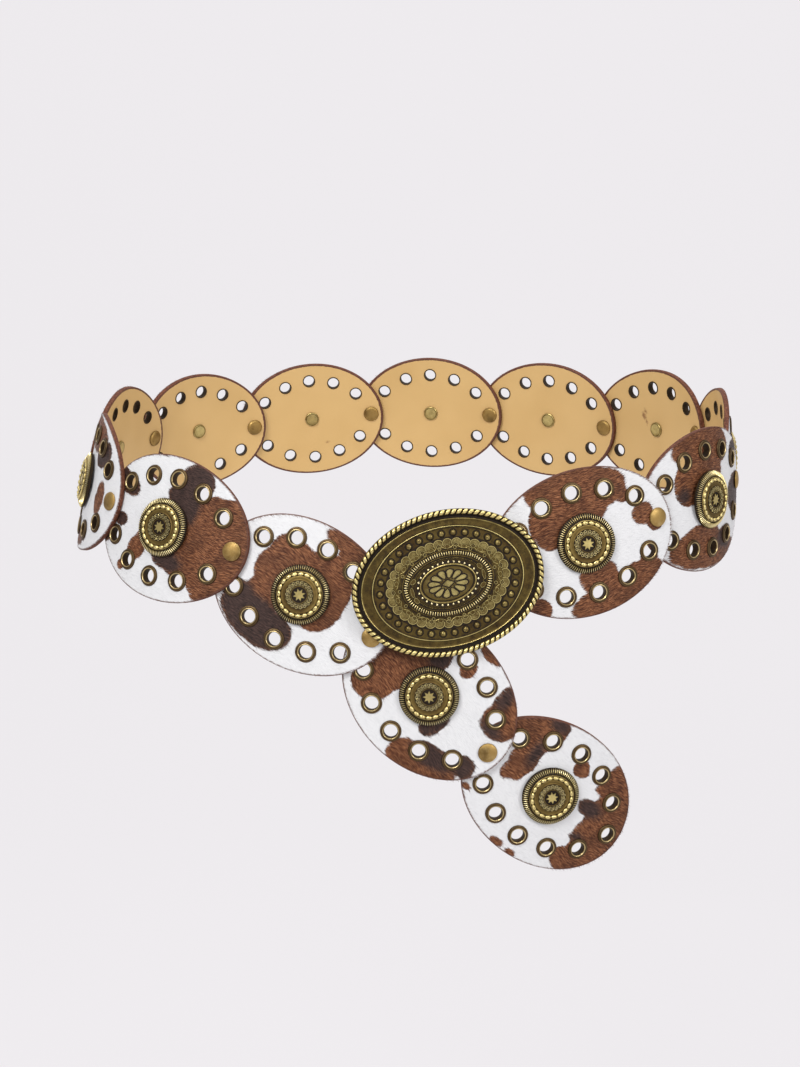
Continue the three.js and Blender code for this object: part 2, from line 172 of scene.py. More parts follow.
class Paint:
    """A material under construction."""

    def __init__(self, name: str) -> None:
        """Starts an empty material with a principled shader.

        Args:
            name: the material's name.
        """
        self.material = bpy.data.materials.new(name)
        self.material.use_nodes = True
        self.tree = self.material.node_tree
        self.tree.nodes.clear()
        output = self.tree.nodes.new("ShaderNodeOutputMaterial")
        self.surface = self.tree.nodes.new("ShaderNodeBsdfPrincipled")
        self.tree.links.new(self.surface.outputs[0], output.inputs["Surface"])

    def node(self, kind: str, settings: dict[str, Any], inputs: dict[Any, Any]) -> Any:
        """Adds a node.

        Args:
            kind: the node's type name.
            settings: the node's own properties, or a ramp's stops, set before its sockets.
            inputs: socket names or indices to values or links.

        Returns:
            The new node.
        """
        node = self.tree.nodes.new(kind)
        for key, setting in settings.items():
            if key == "stops":
                self._stops(node, setting)
            else:
                setattr(node, key, setting)
        for key, content in inputs.items():
            self.feed(node.inputs[key], content)
        return node

    @staticmethod
    def _stops(node: Any, stops: Sequence[tuple[float, Colour]]) -> None:
        """Sets a colour ramp's stops.

        Args:
            node: the ramp's node.
            stops: each stop's place and colour.
        """
        elements = node.color_ramp.elements
        while len(elements) < len(stops):
            elements.new(1.0)
        for element, (place, colour) in zip(elements, stops):
            element.position = place
            element.color = (*colour, 1.0)

    def feed(self, socket: Any, content: Any) -> None:
        """Links or sets one input socket.

        Args:
            socket: the socket.
            content: a value, a link, a colour or a number.
        """
        if isinstance(content, Value):
            self.tree.links.new(content.socket, socket)
        elif isinstance(content, bpy.types.NodeSocket):
            self.tree.links.new(content, socket)
        elif isinstance(content, tuple) and len(content) == 3 and socket.type == "RGBA":
            socket.default_value = (*content, 1.0)
        else:
            socket.default_value = content

    def set(self, **inputs: Any) -> None:
        """Feeds the principled shader, with socket names written with underscores."""
        for key, content in inputs.items():
            self.feed(self.surface.inputs[key.replace("_", " ")], content)

    def mix(self, share: Any, first: Any, second: Any, blend: str = "MIX") -> Any:
        """Mixes two colours.

        Args:
            share: how much of the second colour shows.
            first: a colour or its link.
            second: a colour or its link.
            blend: the mixing mode.

        Returns:
            The mixed colour's socket.
        """
        settings = {"data_type": "RGBA", "blend_type": blend}
        node = self.node("ShaderNodeMix", settings, {0: share, 6: first, 7: second})
        return node.outputs[2]

    def vector(self, operation: str, *operands: Any) -> Any:
        """Adds a Vector Math node.

        Args:
            operation: the node's operation.
            operands: the vectors that it reads, in order.

        Returns:
            The vector's socket, or for a length the number's.
        """
        inputs = dict(enumerate(operands))
        node = self.node("ShaderNodeVectorMath", {"operation": operation}, inputs)
        return node.outputs["Value" if operation == "LENGTH" else "Vector"]

    def noise(self, place: Any, scale: float, detail: float = 2.0, rough: float = 0.5) -> Any:
        """Adds a noise texture.

        Args:
            place: the vector that it reads.
            scale: its scale.
            detail: its octaves.
            rough: how strong the finer octaves are.

        Returns:
            The texture's node.
        """
        inputs = {"Vector": place, "Scale": scale, "Detail": detail, "Roughness": rough}
        return self.node("ShaderNodeTexNoise", {}, inputs)

    def grain(self, place: Any, scale: float, detail: float = 2.0, rough: float = 0.5) -> Value:
        """A noise texture as one value from 0 to 1."""
        return Value(self, self.noise(place, scale, detail, rough).outputs[0])

    def mapped(self, place: Any, spot: Sequence[float], turn: float, size: Sequence[float]) -> Any:
        """Moves a pattern to a spot, turns it and stretches it to a size.

        Args:
            place: the vector that the pattern reads.
            spot: where the pattern's middle goes.
            turn: its turn in radians.
            size: its stretch along each axis.

        Returns:
            The vector in the pattern's own frame.
        """
        inputs = {"Vector": place, "Location": spot, "Rotation": (0, 0, turn), "Scale": size}
        return self.node("ShaderNodeMapping", {"vector_type": "TEXTURE"}, inputs).outputs[0]

    def attribute(self, name: str) -> Value:
        """A value stored on the piece's points."""
        node = self.node("ShaderNodeAttribute", {"attribute_name": name}, {})
        return Value(self, node.outputs["Fac"])

    def object_place(self) -> Any:
        """The place on the piece, in metres."""
        return self.node("ShaderNodeTexCoord", {}, {}).outputs["Object"]

    def flat_place(self) -> Any:
        """The place on a disc as it was cut, in millimetres from its middle.

        Returns:
            The vector of the place.
        """
        flat = self.node("ShaderNodeUVMap", {"uv_map": "flat"}, {}).outputs[0]
        centred = self.vector("SUBTRACT", flat, (0.5, 0.5, 0))
        return self.vector("MULTIPLY", centred, (MAP_SPAN, MAP_SPAN, 0))

    def outside(self, place: Any, patches: Sequence["Patch"], blend: float) -> Value:
        """How far a place lies outside a group of patches.

        Args:
            place: the place on the disc, in millimetres.
            patches: the ovals.
            blend: how softly they run together, in millimetres.

        Returns:
            About the distance in millimetres, below 0 inside.
        """
        total: Optional[Value] = None
        for patch in patches:
            size = (patch.wide, patch.high, 1.0)
            spot = (patch.x, patch.y, 0.0)
            local = self.mapped(place, spot, math.radians(patch.turn), size)
            reach = Value(self, self.vector("LENGTH", local))
            away = (reach - 1) * min(patch.wide, patch.high)
            total = away if total is None else total.lower(away, blend)
        if total is None:
            return self.grain(place, 1.0) + 50.0
        return total

    def bump(self, height: Any, strength: float, depth: float, under: Any = None) -> Any:
        """Adds a Bump node and returns its normal.

        Args:
            height: the relief, from 0 to 1.
            strength: how strongly it shows.
            depth: the relief's depth in metres.
            under: another bump's normal that this one adds to.

        Returns:
            The normal's socket.
        """
        inputs = {"Strength": strength, "Distance": depth, "Height": height}
        if under is not None:
            inputs["Normal"] = under
        return self.node("ShaderNodeBump", {}, inputs).outputs[0]


# Finishes


@dataclass(frozen=True)
class Patch:
    """One coloured patch of hair, an oval in the disc's own millimetres."""

    x: float
    y: float
    wide: float
    high: float
    turn: float = 0.0
    tone: Tone = Tone.BROWN


RIM_LINE = Patch(0.0, 0.0, 42.5, 32.5)


@dataclass(frozen=True)
class AntiqueMetal:
    """Plated metal, dark in its recesses and rubbed bright on its raised parts, with painted shade
    and highlight besides.

    The polish on a piece's points picks the colour, and it carries painted light as well as wear:
    below 0 the dark of a recess, much of it painted shade, about 0.4 the body, 1 the rubbed metal,
    and above that a painted highlight.
    """

    name: str
    dark: Colour
    body: Colour
    bright: Colour
    roughness: float = 0.36
    mottle: float = 0.35
    patina: Colour = (0.080, 0.046, 0.018)
    painted_highlight: Colour = (0.920, 0.800, 0.470)

    def make(self) -> bpy.types.Material:
        """Builds the material.

        Returns:
            The material.
        """
        paint = Paint(self.name)
        place = paint.object_place()
        polish_and_light = paint.attribute("polish_and_light")
        cloud = paint.grain(place, 420.0, 3.0, 0.6)
        speck = paint.grain(place, 2600.0, 2.0, 0.6)
        # worn is the polish with random mottle: real wear, plus painted shade in the low parts and a
        # painted highlight on the raised ones.
        worn = polish_and_light + (cloud - 0.5) * self.mottle + (speck - 0.5) * (self.mottle * 0.6)
        stale = paint.grain(place, 110.0, 2.0, 0.5).ramp(0.42, 0.72) * 0.65
        body = paint.mix(stale, self.body, self.patina)
        low = paint.mix(worn.ramp(0.02, 0.42), self.dark, body)
        colour = paint.mix(worn.ramp(0.45, 1.0), low, self.bright)
        # Above 1.05 the colour turns to a painted highlight.
        colour = paint.mix(worn.ramp(1.05, 1.45), colour, self.painted_highlight)
        rough = (1 - worn.ramp(0.0, 0.9)) * 0.28 + self.roughness + (speck - 0.5) * 0.12
        paint.set(
            Base_Color=colour,
            Metallic=worn.ramp(-0.1, 0.35) * 0.5 + 0.5,
            Roughness=rough,
            Normal=paint.bump(speck, 0.15, 0.00005, paint.bump(cloud, 0.25, 0.0002)),
        )
        return paint.material


ANTIQUE_BRONZE = AntiqueMetal(
    "antique_bronze",
    dark=(0.020, 0.011, 0.006),
    body=(0.120, 0.078, 0.038),
    bright=(0.560, 0.430, 0.210),
)
ANTIQUE_BRASS = AntiqueMetal(
    "antique_brass",
    dark=(0.016, 0.008, 0.003),
    body=(0.200, 0.136, 0.044),
    bright=(0.760, 0.615, 0.250),
)
DULL_BRASS = AntiqueMetal(
    "dull_brass",
    dark=(0.150, 0.082, 0.020),
    body=(0.380, 0.245, 0.082),
    bright=(0.540, 0.390, 0.165),
    roughness=0.42,
    mottle=0.7,
)
BUCKLE_BRASS = AntiqueMetal(
    "buckle_brass",
    dark=(0.014, 0.007, 0.002),
    body=(0.130, 0.091, 0.029),
    bright=(0.680, 0.555, 0.220),
    mottle=0.55,
)


@dataclass(frozen=True)
class TanBacking:
    """The smooth tan back of a disc, with a few marks."""

    name: str = "tan_backing"
    spots: Sequence["Patch"] = ()
    base: Colour = (0.632, 0.414, 0.166)
    shade: Colour = (0.548, 0.343, 0.124)
    stain: Colour = (0.230, 0.105, 0.035)
    rim: Colour = (0.095, 0.029, 0.015)

    def make(self) -> bpy.types.Material:
        """Builds the material.

        Returns:
            The material.
        """
        paint = Paint(self.name)
        place = paint.object_place()
        cloud = paint.grain(place, 28.0, 2.0, 0.5)
        pores = paint.grain(place, 1500.0, 3.0, 0.6)
        colour = paint.mix(cloud.ramp(0.3, 0.75) * 0.6, self.base, self.shade)
        colour = paint.mix((pores - 0.5).ramp(0.05, 0.3) * 0.2, colour, self.shade)
        flat = paint.flat_place()
        away = paint.outside(flat, (RIM_LINE,), 0.0) + (paint.grain(flat, 0.8, 3.0) - 0.5) * 0.6
        colour = paint.mix(away.ramp(-1.2, -0.85), colour, self.rim)
        if self.spots:
            smear = paint.grain(flat, 0.9, 3.0, 0.6)
            away = paint.outside(flat, self.spots, 0.6) + (smear - 0.5) * 2.2
            colour = paint.mix((1 - away.ramp(-0.9, 0.7)) * 0.9, colour, self.stain)
        paint.set(
            Base_Color=colour,
            Roughness=0.50 + (pores - 0.5) * 0.2,
            Normal=paint.bump(pores, 0.12, 0.00006),
        )
        return paint.material


@dataclass(frozen=True)
class EdgePaint:
    """The dark brown cut edge of the leather."""

    base: Colour = (0.085, 0.027, 0.014)
    raw: Colour = (0.225, 0.086, 0.048)

    def make(self) -> bpy.types.Material:
        """Builds the material.

        Returns:
            The material.
        """
        paint = Paint("edge_paint")
        place = paint.object_place()
        fibre = paint.grain(place, 900.0, 4.0, 0.65)
        colour = paint.mix(fibre.ramp(0.42, 0.70) * 0.8, self.base, self.raw)
        paint.set(
            Base_Color=colour,
            Roughness=0.55 + fibre * 0.2,
            Specular_IOR_Level=0.2,
            Normal=paint.bump(fibre, 0.35, 0.00015),
        )
        return paint.material


@dataclass(frozen=True)
class Hide:
    """Short smooth hair in brown and near-black patches on white."""

    name: str
    patches: Sequence[Patch]
    lie: float = 0.0
    white: Colour = (0.700, 0.700, 0.708)
    grey: Colour = (0.480, 0.478, 0.492)
    rim: Colour = (0.110, 0.050, 0.036)
    deep: Colour = (0.030, 0.009, 0.004)
    brown: Colour = (0.112, 0.036, 0.014)
    light: Colour = (0.330, 0.138, 0.060)
    black: Colour = (0.009, 0.005, 0.004)
    grizzle: Colour = (0.085, 0.046, 0.038)

    def make(self) -> bpy.types.Material:
        """Builds the material.

        Returns:
            The material.
        """
        paint = Paint(self.name)
        place = paint.flat_place()

        # The hair's lie wanders a little over the disc.
        sway = paint.vector("MULTIPLY", paint.noise(place, 0.045, 1.0).outputs[1], (10, 10, 0))
        swayed = paint.vector("ADD", place, sway)
        along = paint.mapped(swayed, (0, 0, 0), math.radians(self.lie), (3.0, 0.36, 1.0))
        fine = paint.mapped(swayed, (3, 5, 0), math.radians(self.lie + 5), (1.8, 0.17, 1.0))
        tuft = paint.grain(along, 1.0, 2.0, 0.55)
        strand = paint.grain(fine, 1.0, 2.0, 0.6)
        streak = tuft * 0.6 + strand * 0.4

        # Patch edges wander, and hair tips cross them.
        wander = paint.noise(place, 0.16, 3.0, 0.6).outputs[1]
        edge_place = paint.vector("ADD", place, paint.vector("MULTIPLY", wander, (3.0, 3.0, 0)))
        edge_place = paint.vector("SUBTRACT", edge_place, (1.5, 1.5, 0))
        fray = (strand - 0.5) * 1.7 + (tuft - 0.5) * 1.0
        darks = [patch for patch in self.patches if patch.tone is Tone.DARK]
        every = paint.outside(edge_place, self.patches, 1.6) + fray
        darker = paint.outside(edge_place, darks, 2.0) + fray * 2.2
        coloured = 1 - every.ramp(-0.3, 0.35)
        dark = 1 - darker.ramp(-1.8, 2.2)

        stops = [(0.38, self.deep), (0.49, self.brown), (0.61, self.light)]
        brown = paint.node("ShaderNodeValToRGB", {"stops": stops}, {0: streak}).outputs[0]
        stops = [(0.38, self.black), (0.66, self.grizzle)]
        black = paint.node("ShaderNodeValToRGB", {"stops": stops}, {0: streak}).outputs[0]
        broad = paint.grain(place, 0.09, 2.0, 0.5)
        brown = paint.mix(broad.ramp(0.40, 0.78) * 0.5, brown, self.deep)
        thin = 1 - streak.ramp(0.34, 0.52)
        pale = paint.mix(thin * 0.4, self.white, self.grey)
        colour = paint.mix(coloured, pale, paint.mix(dark, brown, black))
        away = paint.outside(place, (RIM_LINE,), 0.0) + (tuft - 0.5) * 1.6
        colour = paint.mix(away.ramp(-0.85, -0.35) * 0.9, colour, self.rim)
        paint.set(
            Base_Color=colour,
            Roughness=0.60 - streak * 0.22,
            Normal=paint.bump(streak, 0.7, 0.0003),
            Specular_IOR_Level=0.20,
        )
        return paint.material


# Modelling by hand


class Bench:
    """The steps of hand modelling that every piece shares."""

    # Where a bead is cut, as a share of its half height.
    bead_foot = -0.35

    @staticmethod
    def clear() -> None:
        """Leaves edit mode and deselects everything."""
        if bpy.context.mode != "OBJECT":
            bpy.ops.object.mode_set(mode="OBJECT")
        bpy.ops.object.select_all(action="DESELECT")

    @staticmethod
    def hold(*objects: bpy.types.Object) -> None:
        """Selects only these objects and makes the first one active.

        Args:
            objects: the objects.
        """
        Bench.clear()
        for obj in objects:
            obj.select_set(True)
        bpy.context.view_layer.objects.active = objects[0]

    @staticmethod
    def edit(obj: bpy.types.Object) -> None:
        """Opens one object in edit mode with all of it selected.

        Args:
            obj: the object.
        """
        Bench.hold(obj)
        bpy.ops.object.mode_set(mode="EDIT")
        bpy.ops.mesh.select_all(action="SELECT")

    @staticmethod
    def close() -> bpy.types.Object:
        """Leaves edit mode.

        Returns:
            The object that was open.
        """
        bpy.ops.object.mode_set(mode="OBJECT")
        return bpy.context.view_layer.objects.active

    @staticmethod
    def choose(test: Callable[[Vector], bool]) -> None:
        """Selects points of the open mesh.

        Args:
            test: whether the point at a place is wanted.
        """
        bpy.ops.mesh.select_mode(type="VERT")
        bpy.ops.mesh.select_all(action="DESELECT")
        obj = bpy.context.edit_object
        mesh = bmesh.from_edit_mesh(obj.data)
        for vert in mesh.verts:
            vert.select = test(vert.co)
        mesh.select_flush_mode()
        bmesh.update_edit_mesh(obj.data)

    @staticmethod
    def mark(polish_and_light: float) -> None:
        """Stores how polished the selected points of the open mesh are, which also paints light and
        shade on them.

        Args:
            polish_and_light: their polish.
        """
        obj = bpy.context.edit_object
        mesh = bmesh.from_edit_mesh(obj.data)
        layer = mesh.verts.layers.float.get("polish_and_light") or mesh.verts.layers.float.new("polish_and_light")
        for vert in mesh.verts:
            if vert.select:
                vert[layer] = polish_and_light
        bmesh.update_edit_mesh(obj.data)

    @staticmethod
    def shade(obj: bpy.types.Object, low: float, high: float, bottom: float, top: float) -> None:
        """Stores a polish that grows with height, so that tops get a painted highlight and feet
        painted shade as well as wear.

        Args:
            obj: the object.
            low: the polish at and below the bottom.
            high: the polish at and above the top.
            bottom: the lower height in millimetres.
            top: the upper height.
        """
        data = obj.data
        layer = data.attributes.get("polish_and_light") or data.attributes.new("polish_and_light", "FLOAT", "POINT")
        places = np.empty(len(data.vertices) * 3, np.float32)
        data.vertices.foreach_get("co", places)
        share = np.clip((places[2::3] / MM - bottom) / (top - bottom), 0, 1)
        layer.data.foreach_set("value", (low + (high - low) * share).astype(np.float32))

    @staticmethod
    def tidy(obj: bpy.types.Object, angle: float = 35.0) -> bpy.types.Object:
        """Merges doubles, turns the faces outwards and smooths the soft edges.

        Args:
            obj: the object.
            angle: the sharpest edge that is smoothed, in degrees.

        Returns:
            The object.
        """
        Bench.edit(obj)
        bpy.ops.mesh.remove_doubles(threshold=0.002 * MM)
        bpy.ops.mesh.normals_make_consistent(inside=False)
        Bench.close()
        bpy.ops.object.shade_smooth_by_angle(angle=math.radians(angle))
        return obj

    @staticmethod
    def apply(obj: bpy.types.Object, kind: str, **settings: Any) -> None:
        """Adds a modifier to an object and applies it.

        Args:
            obj: the object.
            kind: the modifier's type.
            settings: its properties.
        """
        Bench.hold(obj)
        modifier = obj.modifiers.new(kind.lower(), kind)
        for key, setting in settings.items():
            setattr(modifier, key, setting)
        bpy.ops.object.modifier_apply(modifier=modifier.name)

    @staticmethod
    def copy(obj: bpy.types.Object, name: str = "") -> bpy.types.Object:
        """Copies an object with its own mesh.

        Args:
            obj: the object.
            name: the copy's name, or nothing to keep a numbered one.

        Returns:
            The copy.
        """
        twin = obj.copy()
        twin.data = obj.data.copy()
        if name:
            twin.name = name
            twin.data.name = name
        bpy.context.scene.collection.objects.link(twin)
        return twin

    @staticmethod
    def place(obj: bpy.types.Object, matrix: Matrix) -> bpy.types.Object:
        """Moves a mesh, not its object.

        Args:
            obj: the object.
            matrix: the move.

        Returns:
            The object.
        """
        obj.data.transform(matrix)
        obj.data.update()
        return obj

    @staticmethod
    def join(name: str, objects: Sequence[bpy.types.Object]) -> bpy.types.Object:
        """Joins objects into the first one.

        Args:
            name: the name of the whole.
            objects: the objects, which are used up.

        Returns:
            The joined object.
        """
        Bench.hold(*objects)
        if len(objects) > 1:
            bpy.ops.object.join()
        whole = bpy.context.view_layer.objects.active
        whole.name = name
        whole.data.name = name
        return whole

    @staticmethod
    def turned(name: str, rows: Sequence[Row], sides: int) -> bpy.types.Object:
        """Turns a profile round Z: each row is extruded from the one before and resized.

        Args:
            name: the new object's name.
            rows: for each ring its reach along X and along Y, its height, all in
                millimetres, and its polish.
            sides: points in each ring.

        Returns:
            The closed object.
        """
        Bench.clear()
        bpy.ops.mesh.primitive_circle_add(vertices=sides, radius=1.0, fill_type="NOTHING")
        obj = bpy.context.object
        obj.name = name
        Bench.edit(obj)
        wide, high, height, polish_and_light = rows[0]
        bpy.ops.transform.resize(value=(wide * MM, high * MM, 1.0))
        bpy.ops.transform.translate(value=(0, 0, height * MM))
        bpy.ops.mesh.edge_face_add()
        Bench.mark(polish_and_light)
        for before, after in pairwise(rows):
            rise = (after[2] - before[2]) * MM
            bpy.ops.mesh.extrude_edges_move(TRANSFORM_OT_translate={"value": (0, 0, rise)})
            ratio = (after[0] / before[0], after[1] / before[1], 1.0)
            bpy.ops.transform.resize(value=ratio, center_override=(0, 0, after[2] * MM))
            Bench.mark(after[3])
        bpy.ops.mesh.edge_face_add()
        Bench.close()
        return Bench.tidy(obj)

    @staticmethod
    def lathe(name: str, rows: Sequence[RoundRow], sides: int) -> bpy.types.Object:
        """Turns a round profile, as turned does with an oval one."""
        return Bench.turned(name, [(row[0], *row) for row in rows], sides)

    @staticmethod
    def ring(
        name: str, model: bpy.types.Object, count: int, oval: Oval, start: float = 0.5
    ) -> bpy.types.Object:
        """Copies a model round an oval, evenly along it and turned with it.

        Args:
            name: the new object's name.
            model: the piece, with +Y pointing out of the oval. It is used up.
            count: how many there are.
            oval: the oval's reach along X and along Y, in millimetres.
            start: where the first one stands, in steps.

        Returns:
            The joined copies.
        """
        wide, high = oval
        angles = np.linspace(0, 2 * math.pi, 1441)
        points = np.stack([wide * np.cos(angles), high * np.sin(angles)])
        lengths = np.concatenate([[0], np.cumsum(np.hypot(*np.diff(points)))])
        copies = []
        for step in range(count):
            share = (step + start) / count * lengths[-1]
            angle = float(np.interp(share, lengths, angles))
            spot = Vector((wide * math.cos(angle), high * math.sin(angle), 0)) * MM
            facing = math.atan2(wide * math.sin(angle), high * math.cos(angle)) - math.pi / 2
            twin = Bench.copy(model)
            Bench.place(twin, Matrix.Translation(spot) @ Matrix.Rotation(facing, 4, "Z"))
            copies.append(twin)
        bpy.data.objects.remove(model)
        return Bench.join(name, copies)

    @staticmethod
    def bead(
        size: tuple[float, float, float],
        height: float,
        segments: int = 10,
        rings: int = 6,
        polish_and_light: float = 1.0,
    ) -> bpy.types.Object:
        """Models a bead: a ball cut below its middle and stretched.

        Args:
            size: its half sizes in millimetres.
            height: how high its middle stands, in millimetres.
            segments: points round it.
            rings: rings from pole to pole.
            polish_and_light: how bright its top is, a painted highlight as well as wear.

        Returns:
            The bead, dark at its foot with painted shade.
        """
        Bench.clear()
        bpy.ops.mesh.primitive_uv_sphere_add(segments=segments, ring_count=rings, radius=1.0)
        obj = bpy.context.object
        Bench.edit(obj)
        cut = {"plane_co": (0, 0, Bench.bead_foot), "plane_no": (0, 0, 1)}
        bpy.ops.mesh.bisect(**cut, use_fill=True, clear_inner=True)
        bpy.ops.mesh.select_all(action="SELECT")
        bpy.ops.transform.resize(value=tuple(s * MM for s in size), center_override=(0, 0, 0))
        bpy.ops.transform.translate(value=(0, 0, height * MM))
        Bench.close()
        # The foot is painted dark and the top bright by height: painted shade and a painted highlight
        # as well as wear.
        foot = min(0.05, polish_and_light)
        Bench.shade(obj, foot, polish_and_light, height - size[2] * 0.15, height + size[2] * 0.6)
        bpy.ops.object.shade_smooth_by_angle(angle=math.radians(60))
        return obj

    @staticmethod
    def token(
        sides: int,
        size: tuple[float, float],
        height: float,
        rise: float,
        rim: float,
        sink: float,
        polish_and_light: Shine,
    ) -> bpy.types.Object:
        """Models a flat token with a rim: a filled outline, extruded, inset and sunk.

        Args:
            sides: corners of its outline, the first of them at +Y.
            size: its half sizes in millimetres.
            height: how high its foot stands.
            rise: how high its rim stands above the foot.
            rim: the rim's width.
            sink: how deep the face inside the rim lies, or below 0 how high it stands.
            polish_and_light: the foot's, the rim's and the face's polish; the dark foot and the
                bright rim are painted shade and a painted highlight as well as wear.

        Returns:
            The token.
        """
        Bench.clear()
        bpy.ops.mesh.primitive_circle_add(vertices=sides, radius=1.0, fill_type="NGON")
        obj = bpy.context.object
        Bench.edit(obj)
        scale = (size[0] * MM, size[1] * MM, 1.0)
        bpy.ops.transform.resize(value=scale, center_override=(0, 0, 0))
        bpy.ops.transform.translate(value=(0, 0, height * MM))
        Bench.mark(polish_and_light[0])
        bpy.ops.mesh.extrude_region_move(TRANSFORM_OT_translate={"value": (0, 0, rise * MM)})
        # The rim is painted bright, and the step down into the face takes the foot's dark as painted
        # shade.
        for inset, drop, shine in (
            (rim * 0.3, 0.0, polish_and_light[1]),
            (rim * 0.7, 0.0, polish_and_light[1]),
            (rim * 0.3, sink, polish_and_light[0]),
            (rim * 0.3, 0.0, polish_and_light[2]),
        ):
            bpy.ops.mesh.inset(thickness=inset * MM)
            bpy.ops.transform.translate(value=(0, 0, -drop * MM))
            Bench.mark(shine)
        Bench.close()
        return obj

    @staticmethod
    def lay(obj: bpy.types.Object, x: float, y: float, turn: float) -> bpy.types.Object:
        """Sets a piece down flat.

        Args:
            obj: the piece.
            x: its place along X, in millimetres.
            y: its place along Y.
            turn: its turn in degrees.

        Returns:
            The piece.
        """
        spot = Matrix.Translation((x * MM, y * MM, 0))
        return Bench.place(obj, spot @ Matrix.Rotation(math.radians(turn), 4, "Z"))

    @staticmethod
    def hand_over(
        obj: bpy.types.Object, slot: Slot, *nodes: str, angle: float = 35.0
    ) -> bpy.types.Object:
        """Sets a finished piece on the belt.

        Args:
            obj: the piece, with its place in its mesh.
            slot: not used.
            nodes: the solids that it stands for.
            angle: the sharpest edge that is still smoothed.

        Returns:
            The piece.
        """
        Bench.hold(obj)
        bpy.ops.object.shade_smooth_by_angle(angle=math.radians(angle))
        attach(obj, "root")
        if nodes:
            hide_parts(*nodes)
        LOG.info("%s: %d faces", obj.name, len(obj.data.polygons))
        return obj


# The form that the belt takes on the body


@dataclass(frozen=True)
class Chain:
    """The chain of discs: their sizes and how steeply each climbs."""

    disc_length: float = 85.0
    disc_height: float = 65.0
    leather: float = 2.4
    rivet_inset: float = 7.0
    layer_gap: float = 0.35
    eyelet_hole: float = 6.9
    first_around: float = 63.0
    first_height: float = -14.7
    slopes: Sequence[float] = (
        15.5, 7.2, 11.5, -2.3, 3.3, -0.2, -5.4, -0.8, -2.5, -9.1, -13.6, -29.7, -45.7, -38.0,
    )
    eyelets: Sequence[tuple[float, float]] = ((0, 0.7), (0.342, 0.622), (0.645, 0.394))
    hooked: int = 11
    hook_to_post: float = 61.0
    hook_inset: float = 7.5
    buckle_length: float = 84.0
    buckle_back: float = 4.2

    @property
    def count(self) -> int:
        """How many discs there are."""
        return len(self.slopes)

    @property
    def half_length(self) -> float:
        """Half a disc's length."""
        return self.disc_length / 2

    @property
    def half_height(self) -> float:
        """Half a disc's height."""
        return self.disc_height / 2

    @property
    def reach(self) -> float:
        """From a disc's middle to either rivet."""
        return self.half_length - self.rivet_inset

    @property
    def lift(self) -> float:
        """How far overlapping discs stand off the body line."""
        return (self.leather + self.layer_gap) / 2

    def eyelet_spots(self, number: int) -> list[tuple[float, float]]:
        """Where a disc's eyelets sit.

        Args:
            number: the disc.

        Returns:
            Their places in the disc's own millimetres.
        """
        spots = [
            (end * along * self.half_length, side * across * self.half_height)
            for along, across in self.eyelets
            for end in ((1, -1) if along else (1,))
            for side in (1, -1)
        ]
        if number == self.count:
            spots.append((self.reach, 0.0))
        return spots

    def middle(self, number: int) -> tuple[float, float, float]:
        """Where the middle of a disc lies.

        Args:
            number: the disc.

        Returns:
            Its slope in radians, its way round the waist and its height in millimetres.
        """
        around, height = self.first_around, self.first_height
        for slope in self.slopes[: number - 1]:
            around += 2 * self.reach * math.cos(math.radians(slope))
            height += 2 * self.reach * math.sin(math.radians(slope))
        turn = math.radians(self.slopes[number - 1])
        return turn, around + self.reach * math.cos(turn), height + self.reach * math.sin(turn)

    def unrolled(self, number: int, along: Any, across: Any) -> tuple[Any, Any]:
        """Where a point of a disc lies on the unrolled waist.

        Args:
            number: the disc.
            along: the point's place along the disc, in millimetres.
            across: its place across it.

        Returns:
            Its way round the waist and its height.
        """
        turn, around, height = self.middle(number)
        cos, sin = math.cos(turn), math.sin(turn)
        return around + along * cos - across * sin, height + along * sin + across * cos


